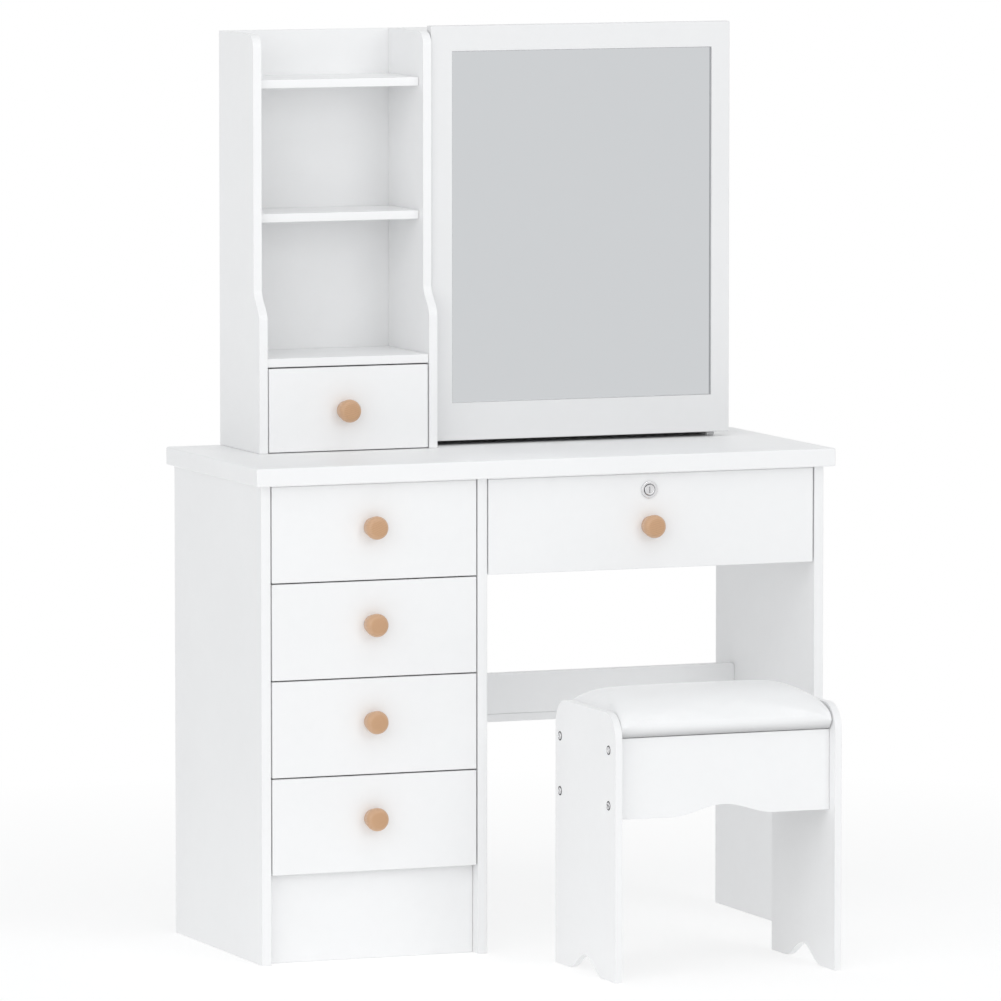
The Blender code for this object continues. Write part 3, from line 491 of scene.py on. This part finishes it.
def plated_finish(name, colour, roughness, axis=None, groove=0):
    """Plated metal with fine brush marks.

    On a piece turned about an axis along Y the marks run in circles, and painted shade darkens its groove,
    by the distance of the radius from the groove's.
    """
    finish = Finish(name)
    place = finish.place()
    smudge = finish.noise(place, 160, 3)
    tone = finish.mixed(smudge, shade(colour, 0.93), shade(colour, 1.04))
    if axis:
        x, _, z = finish.axes(place)
        radius = ((x - axis[0]) ** 2 + (z - axis[1]) ** 2) ** 0.5
        marks = finish.noise(finish.node("ShaderNodeCombineXYZ", None, {0: radius}), 9000, 2)
        # Painted shade: the colour darkens in a thin band round the groove's radius.
        groove_shade = finish.ranged(abs(radius - groove), 0.0003, 0.0009, 0.2, 0)
        tone = finish.mixed(groove_shade, tone, shade(colour, 0.45))
    else:
        marks = finish.noise(finish.place(scale=(1, 1, 0.05)), 2500, 3)
    finish.set(
        Base_Color=tone,
        Metallic=1.0,
        Roughness=finish.ranged(marks * 0.6 + smudge * 0.4, 0.3, 0.7, roughness * 0.75, roughness * 1.3),
    )
    return finish.bumped(marks, 0.00001, 0.4)


def leatherette_finish(name, cover):
    """Soft leatherette: pebbled grain from the distance to cell walls, with finer pores between.

    The cover's colour is darkened towards the seam at its lower edge, as painted shade where it turns
    under.
    """
    finish = Finish(name)
    place = finish.place()
    warp = finish.noise(place, 260, 2)
    shift = Field(finish, warp.socket.node.outputs["Color"])
    values = {0: shift, 1: (0.0016,) * 3, 2: place}
    bent = finish.node("ShaderNodeVectorMath", {"operation": "MULTIPLY_ADD"}, values)
    settings = {"feature": "DISTANCE_TO_EDGE"}
    cells = finish.node("ShaderNodeTexVoronoi", settings, {"Vector": bent, "Scale": 620.0})
    pebble = finish.ranged(cells, 0.0, 0.16, 0, 1)
    pores = finish.noise(place, 2600, 1)
    cloud = finish.noise(place, 9, 3)
    tone = finish.mixed(cloud * 0.5 + pebble * 0.5, shade(cover, 0.965), shade(cover, 1.01))
    # Painted shade: the colour darkens over the lowest 17.5 mm, towards the seam where the cover turns
    # under.
    seam_z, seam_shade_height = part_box("stool_cushion")[0].z, 0.0175
    painted_seam_shade = finish.ranged(finish.axes(place)[2], seam_z, seam_z + seam_shade_height, 1, 0)
    finish.set(
        Base_Color=finish.mixed(painted_seam_shade**1.5, tone, shade(cover, 0.48)),
        Roughness=finish.ranged(pebble, 0, 1, 0.46, 0.34),
        Coat_Weight=0.12,
        Coat_Roughness=0.3,
    )
    return finish.bumped(pebble * 0.8 + pores * 0.2, 0.00012, 0.45)


def finish_called(name, make, *values):
    """The finish's material, made at its first use."""
    kept = bpy.data.materials.get(name)
    return kept or make(name, *values).material


def dress(piece, material):
    """Gives a piece one material."""
    piece.data.materials.clear()
    piece.data.materials.append(material)
    return piece


def eased_group():
    """Geometry nodes that weld loose triangles and shade them smooth but for sharp edges."""
    name = "eased_shading"
    if name in bpy.data.node_groups:
        return bpy.data.node_groups[name]
    group = bpy.data.node_groups.new(name, "GeometryNodeTree")
    for way in ("INPUT", "OUTPUT"):
        group.interface.new_socket("Geometry", in_out=way, socket_type="NodeSocketGeometry")
    nodes, sharp_degrees = Nodes(group), 60
    source, result = nodes.node("NodeGroupInput"), group.nodes.new("NodeGroupOutput")
    weld = nodes.node("GeometryNodeMergeByDistance", None, {"Geometry": source, "Distance": 1e-6})
    plain = nodes.node("GeometryNodeRemoveAttribute", None, {"Geometry": weld, "Name": "custom_normal"})
    smooth = nodes.node("GeometryNodeSetShadeSmooth", None, {"Geometry": plain})
    angle = nodes.node("GeometryNodeInputMeshEdgeAngle", output="Unsigned Angle")
    settings = {"data_type": "FLOAT", "operation": "GREATER_THAN"}
    sharp = nodes.node("FunctionNodeCompare", settings, {0: angle, 1: math.radians(sharp_degrees)})
    values = {"Geometry": smooth, "Selection": sharp, "Shade Smooth": False}
    nodes.feed(result.inputs[0], nodes.node("GeometryNodeSetShadeSmooth", {"domain": "EDGE"}, values))
    return group


def eased(node):
    """Shades a packed board's small bevels as round edges and its curves as smooth."""
    welded = node.modifiers.new("eased_shading", "NODES")
    welded.node_group = eased_group()
    weighted = node.modifiers.new("flat_faces", "WEIGHTED_NORMAL")
    weighted.keep_sharp = True
    weighted.weight = 80
    return node


class VANITY_OT_boards(bpy.types.Operator):
    """Lacquer the boards, foil the drawer boxes and paint the thin sheets"""

    bl_idname = "vanity.boards"
    bl_label = "Boards"

    def execute(self, context):
        colours = context.scene.vanity_finishes
        lacquer = finish_called("satin_lacquer", lacquer_finish, colours.lacquer)
        # Painted shade: the door frame takes a darker copy of the lacquer.
        door = finish_called("door_lacquer", lacquer_finish, colours.door)
        foil = finish_called("matt_foil", foil_finish, colours.foil)
        hardboard = finish_called("painted_hardboard", hardboard_finish, colours.hardboard)
        foiled = [drawer + "_box" for drawer in DRAWERS] + ["stool_seat_board"]
        sheets = [drawer + "_bottom" for drawer in DRAWERS] + list(SHEET_NODES)
        others = {"door_frame": door, **dict.fromkeys(foiled, foil), **dict.fromkeys(sheets, hardboard)}
        for name, node in NODES.items():
            eased(dress(node, others.get(name, lacquer)))
        return {"FINISHED"}


class VANITY_OT_strips(bpy.types.Operator):
    """Close the gap between the tabletop and the upper fronts with thin strips"""

    bl_idname = "vanity.strips"
    bl_label = "Strips"

    def execute(self, context):
        lacquer = finish_called("satin_lacquer", lacquer_finish, context.scene.vanity_finishes.lacquer)
        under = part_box("tabletop")[0].z
        depth, inset, clear, ease = 0.009, 0.0003, 0.00015, 0.0001
        skins = []
        for front in ("pedestal_drawer_1_front", "wide_drawer_front"):
            middle, low, high = middle_of(front)
            height = under - high.z - clear
            points, faces = lofted(eased_box_rings((high.x - low.x) / 2, depth / 2, height, ease, 32))
            skins.append((placed(points, (middle.x, low.y + inset + depth / 2, high.z + clear)), faces))
        strips = dress(mesh_piece("tabletop_strips", *joined(skins)), lacquer)
        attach(strips, "desk")
        return {"FINISHED"}


class VANITY_OT_mirror(bpy.types.Operator):
    """Silver the mirror and lay a thin dark bead round it, whose grey is painted shade along the rebate"""

    bl_idname = "vanity.mirror"
    bl_label = "Mirror"

    def execute(self, context):
        colours, sizes = context.scene.vanity_finishes, context.scene.vanity_sizes
        dress(NODES["mirror_glass"], finish_called("silvered_mirror", mirror_finish, colours.silver))
        middle, low, high = middle_of("mirror_glass")
        in_rebate, lift = 0.0038, 0.0001
        half_x, half_z = (high.x - low.x) / 2 - in_rebate, (high.z - low.z) / 2 - in_rebate
        points, faces = shell(bead_rings(half_x, half_z, sizes.trim_width))
        points = placed(points, (middle.x, low.y - lift, middle.z), FACING_FRONT)
        # Painted shade: a dark bead where the frame's rebate throws a shadow line onto the glass.
        trim = finish_called("dark_trim", plated_finish, colours.trim, 0.4)
        bead = dress(mesh_piece("mirror_bead", points, faces), trim)
        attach(bead, "mirror_door")
        return {"FINISHED"}


def bead_rings(half_x, half_z, width):
    """A bead's rings round a rectangle: up its outer face, over a chamfer, and down its inner face."""
    height, chamfer = 0.003, width * 0.3
    steps = ((0, 0), (0, height), (width - chamfer, height), (width, height - chamfer), (width, 0))
    return box_rings(half_x, half_z, steps, 32)


class VANITY_OT_hinges(bpy.types.Operator):
    """Plate the concealed hinges and the strike, and screw the hinges down"""

    bl_idname = "vanity.hinges"
    bl_label = "Hinges"

    def execute(self, context):
        colours, sizes = context.scene.vanity_finishes, context.scene.vanity_sizes
        steel = finish_called("zinc_steel", plated_finish, colours.steel, 0.3)
        for name in STEEL_NODES:
            dress(NODES[name], steel)
        rear_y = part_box("door_frame")[1].y
        screw = lofted(screw_rings(sizes.screw_radius))
        wing_x, wing_z, wing_out, lift, below_rim = 0.0065, 0.0046, 0.0193, 0.0002, 0.0001
        plate_in, plate_back, plate_out = 0.0026, 0.01625, 0.0155
        root_in, root_along = 0.0081, (0.028, 0.044)
        for end in ("upper", "lower"):
            middle, _, high = middle_of("hinge_cup_" + end)
            levels = (middle.z - wing_out, middle.z + wing_out)
            wing = lofted(wing_rings(wing_x, wing_z, high.y - rear_y - lift - below_rim))
            skins = copies(wing, [(middle.x, rear_y + lift, z) for z in levels], FACING_REAR)
            skins += copies(screw, [(middle.x, high.y, z) for z in levels], FACING_REAR)
            self.fasten(end + "_hinge_wings", skins, steel, "mirror_door")

            middle, low, high = middle_of("hinge_arm_" + end)
            levels = (middle.z - plate_out, middle.z + plate_out)
            places = [(low.x + plate_in, high.y - plate_back, z) for z in levels]
            places += [(low.x + root_in, low.y + along, middle.z) for along in root_along]
            self.fasten(end + "_hinge_screws", copies(screw, places, FACING_RIGHT), steel, "desk")
        return {"FINISHED"}

    def fasten(self, name, skins, steel, body):
        """Makes one piece of several skins, which rides with a body."""
        piece = dress(mesh_piece(name, *joined(skins)), steel)
        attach(piece, body)


def wing_rings(half_x, half_y, height):
    """A hinge cup's screw wing: rings on |x/a|^5 + |y/b|^5 = 1, drawn in over its eased upper edge."""
    turn = full_turn()
    cos, sin = np.cos(turn), np.sin(turn)
    reach = (np.abs(cos) ** 5 + np.abs(sin) ** 5) ** (-1 / 5)
    ease = 0.0004
    rings = []
    for less, level in ((0, 0), (0, height - ease), (ease * 0.3, height - ease * 0.3), (ease, height)):
        x, y = cos * reach * (half_x - less), sin * reach * (half_y - less)
        rings.append(np.stack((x, y, level + 0 * x), -1))
    return np.array(rings)


def screw_rings(radius):
    """A low domed head with a crossed recess.

    Circles shrink over the dome, then plus signs go down: shares of the arm and of the bar, and a depth.
    """
    head, arm, bar = 0.0011, radius * 0.6, radius * 0.15
    rings = dome_rings(radius, head, 7)
    for arm_share, bar_share, depth in ((1, 1, 0), (0.85, 0.8, 0.0007), (0.3, 0.5, 0.0009)):
        rings.append(cross_ring(arm * arm_share, bar * bar_share, head - depth))
    return np.array(rings)


class VANITY_OT_knobs(bpy.types.Operator):
    """Turn the six knobs in beech"""

    bl_idname = "vanity.knobs"
    bl_label = "Knobs"

    def execute(self, context):
        colours, sizes = context.scene.vanity_finishes, context.scene.vanity_sizes
        beech = finish_called("lacquered_beech", beech_finish, colours.beech_light, colours.beech_dark)
        for drawer in DRAWERS:
            node = drawer + "_knob"
            middle, low, high = middle_of(node)
            points, faces = lofted(turned_rings(*knob_profile(sizes, high.y - low.y)))
            points = placed(points, (middle.x, low.y + sizes.knob_length, middle.z), FACING_FRONT)
            knob = dress(mesh_piece(drawer + "_turned_knob", points, faces, sharp_degrees=40), beech)
            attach(knob, drawer)
            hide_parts(node)
        return {"FINISHED"}


def knob_profile(sizes, whole_length):
    """Radii and heights of a knob from its face down.

    A flat face with a softened edge, a rim that is a quarter of an ellipse, a waist that narrows with the
    square of a sine, and the tenon that sits in the front.
    """
    length, face, widest, neck = sizes.knob_length, sizes.knob_face, sizes.knob_radius, sizes.knob_neck
    shoulder, quarter = length - sizes.knob_rim, np.linspace(0, math.pi / 2, 17)
    edge_drop, foot_in, foot_lift = 0.00004, 0.0005, 0.0002
    tenon_r, tenon_end, ease = 0.0039, length - whole_length, 0.0006
    radii = np.concatenate(
        (
            [face * 0.5, face * 0.97],
            face + (widest - face) * np.sin(quarter),
            widest + (neck - widest) * np.sin(quarter[1:]) ** 2,
            [neck - foot_in, tenon_r, tenon_r, tenon_r - ease],
        )
    )
    heights = np.concatenate(
        (
            [length, length],
            shoulder + (length - shoulder) * np.cos(quarter) - edge_drop,
            shoulder * (1 - np.linspace(0, 1, 17)[1:]) + foot_lift,
            [0.0, 0.0, tenon_end + ease, tenon_end],
        )
    )
    return radii, heights


class VANITY_OT_lock(bpy.types.Operator):
    """Turn the lock's ring and its plug with a key slot"""

    bl_idname = "vanity.lock"
    bl_label = "Lock"

    def execute(self, context):
        colours = context.scene.vanity_finishes
        middle, low, high = middle_of("lock_cylinder")
        plug_low, plug_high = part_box("lock_plug")
        place, ring_r, length = (middle.x, low.y, middle.z), (high.x - low.x) / 2, high.y - low.y
        face, plug_end = low.y - plug_low.y, low.y - plug_high.y
        plug_r, room, groove = 0.008, 0.0003, 0.0008
        values = (colours.nickel, 0.22, (middle.x, middle.z), plug_r + groove)
        nickel = finish_called("nickel_plate", plated_finish, *values)
        points, faces = shell(turned_rings(*lock_ring_profile(plug_r + room, ring_r, length)))
        ring = dress(mesh_piece("lock_ring", placed(points, place, FACING_FRONT), faces), nickel)
        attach(ring, "wide_drawer")
        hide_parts("lock_cylinder")

        tongue = tongue_rings(plug_end, plug_high.x - middle.x)
        points, faces = joined([lofted(plug_rings(plug_r, face, plug_end)), lofted(tongue)])
        plug = dress(mesh_piece("lock_key_plug", placed(points, place, FACING_FRONT), faces), nickel)
        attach(plug, "lock_plug")
        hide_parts("lock_plug")
        return {"FINISHED"}


def lock_ring_profile(bore_r, ring_r, length):
    """Radii and heights round the ring's section.

    A chamfer on the bore's edge, a quarter round on the outer edge, and behind the ring the narrower body
    that passes through the drawer's front.
    """
    body_r, ring_l, chamfer, ease = 0.0105, 0.003, 0.0012, 0.001
    quarter = np.linspace(0, math.pi / 2, 9)
    outer_r, outer_h = ring_r - ease + ease * np.sin(quarter), ease * np.cos(quarter) - ease
    radii = np.concatenate(([bore_r, bore_r, bore_r + chamfer], outer_r, [ring_r, body_r, body_r]))
    heights = np.concatenate(([-length, -chamfer, 0.0], outer_h, [-ring_l, -ring_l, -length]))
    return radii, heights


def plug_rings(radius, face, end):
    """The plug's rings from its rear end to its face and down into the key slot: circles, then boxes."""
    ease, dish, half_x, half_y, lip, depth = 0.0004, 0.0002, 0.0008, 0.0045, 0.0003, 0.004
    radii = [radius * 0.4, radius, radius, radius - ease, radius * 0.84, radius * 0.8]
    heights = [end, end, face - ease, face, face, face - dish]
    steps = ((-lip, face - dish), (0, face - 2 * lip), (0, face - depth), (ease, face - depth))
    return np.vstack((turned_rings(radii, heights), box_rings(half_x, half_y, steps)))


def tongue_rings(end, reach):
    """The tongue on the plug's rear end: an eased box, aside from the axis and out to its reach."""
    half_x, half_y, thickness, ease = 0.013, 0.005, 0.002, 0.0004
    return eased_box_rings(half_x, half_y, thickness, ease) + (reach - half_x, 0, end)


class VANITY_OT_bolts(bpy.types.Operator):
    """Set the socket bolts into the stool's sides"""

    bl_idname = "vanity.bolts"
    bl_label = "Stool bolts"

    def execute(self, context):
        colours, sizes = context.scene.vanity_finishes, context.scene.vanity_sizes
        # Partly painted shade: the blackened sleeves are near black to stand for the shade round each bolt
        # in its recess.
        sleeve_black_and_shade = finish_called("blackened_steel", plated_finish, colours.sleeve_black_and_shade, 0.35)
        nickel = finish_called("bright_steel", plated_finish, colours.nickel, 0.2)
        room, depths = 0.0002, (0.017, 0.100)
        head = lofted(bolt_rings(sizes.bolt_radius, sizes.bolt_socket))
        sleeve = shell(turned_rings(*sleeve_profile(sizes.bolt_radius + room, sizes.bolt_sleeve)))
        places = []
        for apron in ("stool_front_apron", "stool_rear_apron"):
            middle, _, high = middle_of(apron)
            places += [(middle.y, high.z - depth) for depth in depths]
        for side, turn, end in (("stool_left_side", FACING_LEFT, 0), ("stool_right_side", FACING_RIGHT, 1)):
            face_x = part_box(side)[end].x
            for name, skin, steel in (("_bolts", head, nickel), ("_sleeves", sleeve, sleeve_black_and_shade)):
                skins = copies(skin, [(face_x, y, z) for y, z in places], turn)
                piece = dress(mesh_piece(side + name, *joined(skins)), steel)
                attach(piece, "stool")
        return {"FINISHED"}


def bolt_rings(radius, socket):
    """A low domed head with a hexagon socket.

    Circles shrink over the dome, then hexagons go down: a share of the socket's width, and a height.
    """
    head, chamfer, floor, tip = 0.0013, 0.0004, -0.0018, -0.0022
    rings = dome_rings(radius, head, 9)
    for share, height in ((1.12, head), (1, head - chamfer), (1, floor), (0.4, tip)):
        rings.append(polygon_ring(6, socket * share, height))
    return np.array(rings)


def sleeve_profile(inner_r, outer_r):
    """Radii and heights round the section of the thin flange round a bolt, with eased edges."""
    height, ease = 0.0005, 0.00025
    radii = [inner_r, inner_r, inner_r + ease, outer_r - ease, outer_r, outer_r]
    return radii, [0.0, height - ease, height, height, height - ease, 0.0]


class VANITY_OT_cushion(bpy.types.Operator):
    """Cut, stuff and cover the stool's cushion"""

    bl_idname = "vanity.cushion"
    bl_label = "Cushion"

    def execute(self, context):
        colours, sizes = context.scene.vanity_finishes, context.scene.vanity_sizes
        middle, low, high = middle_of("stool_cushion")
        left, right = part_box("stool_left_side"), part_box("stool_right_side")
        seat_low, seat_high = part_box("stool_seat_board")
        side_gap, seat_gap, seat_lift, clear = 0.0012, 0.0006, 0.0004, 0.001
        half = ((right[0].x - left[1].x) / 2 - side_gap, (high.y - low.y) / 2)
        seat = ((seat_high.y - seat_low.y) / 2 + seat_gap, seat_high.z + seat_lift - low.z)
        points, faces = joined(cushion_skins(half, seat, left[1].z - clear - low.z, sizes.cushion_crown))
        points = placed(points, (middle.x, (seat_low.y + seat_high.y) / 2, low.z))
        cushion = mesh_piece("padded_cushion", points, faces, sharp_degrees=180)
        stuffed(cushion, sizes.cushion_swell, seat, (left[1].x + clear, right[0].x - clear))
        dress(cushion, finish_called("soft_leatherette", leatherette_finish, colours.leatherette))
        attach(cushion, "stool")
        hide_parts("stool_cushion")
        return {"FINISHED"}


def grid_skin(place, first, second):
    """Points and quads of the surface place(a, b) over a grid of its two parameters."""
    a, b = np.meshgrid(first, second, indexing="ij")
    rows, columns = np.arange(len(first) - 1)[:, None] * len(second), np.arange(len(second) - 1)
    corner = rows + columns
    quads = np.stack((corner, corner + 1, corner + 1 + len(second), corner + len(second)), -1)
    return place(a, b).reshape(-1, 3), quads.reshape(-1, 4).tolist()


def cushion_skins(half, seat, edge, crown):
    """The cushion's top, underside and four sides.

    u and v run from -1 to 1 over its width and depth, and the level from 0 below to 1 on top. The top is
    the edge height plus a crown of (1 - |u|^10)(1 - |v|^2.5), lowered along quarter ellipses beside the
    edges. The underside is level but for a pocket over the seat board. Going down, the front and rear are
    drawn in by the square of what is left to go.
    """
    roll_d, roll_h, end_roll, tuck, draw = 0.05, 0.022, 0.002, 0.012, 0.0015
    columns, rows, levels, brink = 81, 47, 11, 0.004
    seat_v = seat[0] / (half[1] - tuck)

    def drop(offset, limit, depth, height):
        """How far a quarter ellipse has fallen on its way to the limit."""
        near = np.clip(1 - (limit - np.abs(offset)) / depth, 0, 1)
        return height * (1 - np.sqrt(1 - near**2))

    def place(u, v, level):
        x, y = u * (half[0] - draw * (1 - v * v)), v * (half[1] - draw * (1 - u * u))
        top = edge + crown * (1 - np.abs(u) ** 10) * (1 - np.abs(v) ** 2.5)
        top = top - drop(y, half[1], roll_d, roll_h) - drop(x, half[0], end_roll, end_roll)
        under = np.where(np.abs(v) <= seat_v + 1e-6, seat[1], 0)
        return np.stack((x, y - tuck * v * (1 - level) ** 2, under + level * (top - under)), -1)

    def spread(steps):
        """Values from -1 to 1, closer together towards both ends: 0.8 sin(pi t / 2) + 0.2 t."""
        even = np.linspace(-1, 1, steps)
        return 0.8 * np.sin(math.pi / 2 * even) + 0.2 * even

    across, up = spread(columns), np.linspace(0, 1, levels)
    deep = np.sort(np.concatenate((spread(rows), [-seat_v - brink, -seat_v, seat_v, seat_v + brink])))
    skins = [grid_skin(lambda u, v, level=level: place(u, v, level), across, deep) for level in (0, 1)]
    for end in (-1, 1):
        skins.append(grid_skin(lambda u, level, end=end: place(u, end + 0 * u, level), across, up))
        skins.append(grid_skin(lambda v, level, end=end: place(end + 0 * v, v, level), deep, up))
    return skins


def baked(piece):
    """Puts what a piece's modifiers make into its mesh, and takes them off."""
    mesh = bpy.data.meshes.new_from_object(piece.evaluated_get(bpy.context.evaluated_depsgraph_get()))
    piece.modifiers.clear()
    piece.data = mesh
    return piece


def places_in(mesh):
    """Places of a mesh's points as rows."""
    places = np.zeros(len(mesh.vertices) * 3)
    mesh.vertices.foreach_get("co", places)
    return places.reshape(-1, 3)


def stuffed(cushion, swell, seat, room):
    """Lets the cover swell under pressure, held at its underside, and keeps it inside its room."""
    frames, near = 20, 0.0005
    scene = bpy.context.scene
    start = places_in(cushion.data)
    y, z = start[:, 1], start[:, 2]
    low_z, middle_y = z.min(), (y.min() + y.max()) / 2
    over_seat = (np.abs(y - middle_y) < seat[0] + near) & (z < low_z + seat[1] + near)
    foot = cushion.vertex_groups.new(name="foot")
    foot.add(np.flatnonzero(over_seat | (z < low_z + 2 * near)).tolist(), 1.0, "REPLACE")
    cloth = cushion.modifiers.new("stuffing", "CLOTH")
    cloth.settings.vertex_group_mass = "foot"
    cloth.settings.use_pressure = True
    cloth.settings.uniform_pressure_force = 4.0
    cloth.settings.effector_weights.gravity = 0.0
    cloth.settings.quality = 6
    cloth.settings.tension_stiffness = 20
    cloth.settings.compression_stiffness = 20
    cloth.settings.bending_stiffness = 1.5
    cloth.collision_settings.use_collision = False
    for step in range(1, frames + 1):
        scene.frame_set(step)
    baked(cushion)
    scene.frame_set(1)
    moved = places_in(cushion.data) - start
    far = np.linalg.norm(moved, axis=1, keepdims=True) + 1e-9
    moved *= swell * np.tanh(far / swell) / far
    places = start + moved
    places[:, 0] = np.clip(places[:, 0], *room)
    places[:, 1] = np.maximum(places[:, 1], y.min() - swell * 0.5)
    cushion.data.vertices.foreach_set("co", places.ravel())
    finer = cushion.modifiers.new("finer", "SUBSURF")
    finer.levels = finer.render_levels = 1
    baked(cushion)
    cushion.data.shade_smooth()


class VANITY_OT_studio(bpy.types.Operator):
    """Set up the pale floor, the background, the lamps and the camera"""

    bl_idname = "vanity.studio"
    bl_label = "Studio"

    def execute(self, context):
        scene = context.scene
        colours, sizes = scene.vanity_finishes, scene.vanity_sizes
        scene.view_settings.view_transform = "Standard"
        make_world(scene, sizes.sky)
        make_floor(colours)
        make_lamp("key", (-4.6, -3.8, 3.0), (0.0, 0.0, 0.6), 5.5, sizes.key_light)
        make_lamp("front", (1.3, -4.4, 2.5), (0.0, 0.0, 0.8), 1.8, sizes.front_light)
        make_lamp("top", (0.0, -1.6, 4.0), (0.0, 0.0, 0.6), 3.0, sizes.top_light)
        make_camera(scene)
        return {"FINISHED"}


def make_world(scene, strength):
    """Even, slightly cool light from all round; eyes, glass and metal see plain white."""
    world = bpy.data.worlds.new("studio")
    scene.world = world
    world.use_nodes = True
    nodes = Nodes(world.node_tree)
    lit = nodes.tree.nodes["Background"]
    nodes.feed(lit.inputs["Color"], (0.975, 0.99, 1))
    nodes.feed(lit.inputs["Strength"], strength)
    white = nodes.node("ShaderNodeBackground", None, {"Color": (1, 1, 1), "Strength": 1.0})
    both = nodes.between(nodes.seen(), Field(nodes, lit.outputs[0]), white)
    nodes.feed(nodes.tree.nodes["World Output"].inputs["Surface"], both)


def make_floor(colours):
    """A round pale floor that keeps the shadow near the object and fades to the plain background.

    It glows faintly for every ray, and it is clear from below.
    """
    around, sunk, radii = 128, 0.0004, (0.14, 0.7, 1.75, 3.5, 7.0)
    points = turned_rings(radii, [-sunk] * len(radii), around).reshape(-1, 3)
    low = np.arange(len(radii) - 1)[:, None] * around
    faces = [list(range(around))] + quads_between(low + around, low, around)
    mesh = bpy.data.meshes.new("floor")
    mesh.from_pydata(points.tolist(), [], faces)
    floor = bpy.data.objects.new("floor", mesh)
    bpy.context.scene.collection.objects.link(floor)

    finish = Finish("pale_floor")
    place = finish.place()
    grain = finish.noise(place, 40, 3)
    finish.set(
        Base_Color=finish.mixed(grain, shade(colours.backdrop, 0.99), colours.backdrop),
        Roughness=finish.ranged(grain, 0.3, 0.7, 0.85, 0.95),
        Specular_IOR_Level=0.0,
    )
    x, y, _ = finish.axes(place)
    fade_from, fade_to, least, glow = 0.9, 2.2, 0.5, 0.23
    away = finish.ranged((x**2 + y**2) ** 0.5, fade_from, fade_to, least, 1)
    glowing, white = (
        finish.node("ShaderNodeEmission", None, {"Color": (1, 1, 1), "Strength": strength})
        for strength in (glow, 1.0)
    )
    plain = Field(finish, finish.shader.outputs[0])
    lit = finish.node("ShaderNodeAddShader", None, {0: plain, 1: glowing})
    above = finish.between(finish.seen(), lit, finish.between(away, lit, white))
    clear = finish.node("ShaderNodeBsdfTransparent", None, {"Color": (1, 1, 1)})
    under = finish.node("ShaderNodeNewGeometry", output="Backfacing")
    finish.feed(finish.tree.nodes["Material Output"].inputs["Surface"], finish.between(under, above, clear))
    dress(floor, finish.material)


def make_lamp(name, place, aim, size, power):
    """A square soft lamp at its place, turned to the point that it lights."""
    data = bpy.data.lights.new(name, "AREA")
    data.shape = "SQUARE"
    data.size = size
    data.energy = power
    lamp = bpy.data.objects.new(name, data)
    lamp.location = place
    lamp.rotation_euler = (Vector(aim) - lamp.location).to_track_quat("-Z", "Y").to_euler()
    bpy.context.scene.collection.objects.link(lamp)


def make_camera(scene):
    """The camera at the photograph's angle, with a long lens."""
    tilt, turn = 5.442, 21.682
    data = bpy.data.cameras.new("camera")
    data.sensor_width = 36.0
    data.lens = 328.34
    data.clip_start, data.clip_end = 0.1, 200
    camera = bpy.data.objects.new("camera", data)
    camera.location = (-5.1487, -12.7787, 1.9982)
    camera.rotation_euler = (math.radians(90 - tilt), 0, math.radians(-turn))
    scene.collection.objects.link(camera)
    scene.camera = camera


class VANITY_PT_panel(bpy.types.Panel):
    """Lists the steps that dress the desk"""

    bl_idname = "VANITY_PT_panel"
    bl_label = "Makeup Vanity Desk"
    bl_space_type = "VIEW_3D"
    bl_region_type = "UI"
    bl_category = "Vanity"

    def draw(self, context):
        for step in STEPS:
            self.layout.operator(step.bl_idname)
        for group in (context.scene.vanity_finishes, context.scene.vanity_sizes):
            box = self.layout.box()
            for name in group.bl_rna.properties.keys():
                if name not in ("rna_type", "name"):
                    box.prop(group, name)


STEPS = (
    VANITY_OT_boards,
    VANITY_OT_strips,
    VANITY_OT_mirror,
    VANITY_OT_hinges,
    VANITY_OT_knobs,
    VANITY_OT_lock,
    VANITY_OT_bolts,
    VANITY_OT_cushion,
    VANITY_OT_studio,
)
CLASSES = (VanityFinishes, VanitySizes, *STEPS, VANITY_PT_panel)


def register():
    """Registers the classes and their properties."""
    for each in CLASSES:
        bpy.utils.register_class(each)
    bpy.types.Scene.vanity_finishes = bpy.props.PointerProperty(type=VanityFinishes)
    bpy.types.Scene.vanity_sizes = bpy.props.PointerProperty(type=VanitySizes)


def unregister():
    """Removes the properties and the classes."""
    del bpy.types.Scene.vanity_sizes
    del bpy.types.Scene.vanity_finishes
    for each in reversed(CLASSES):
        bpy.utils.unregister_class(each)


def main():
    """Registers the add-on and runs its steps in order."""
    register()
    for step in STEPS:
        area, name = step.bl_idname.split(".")
        getattr(getattr(bpy.ops, area), name)()


if __name__ == "__main__":
    main()
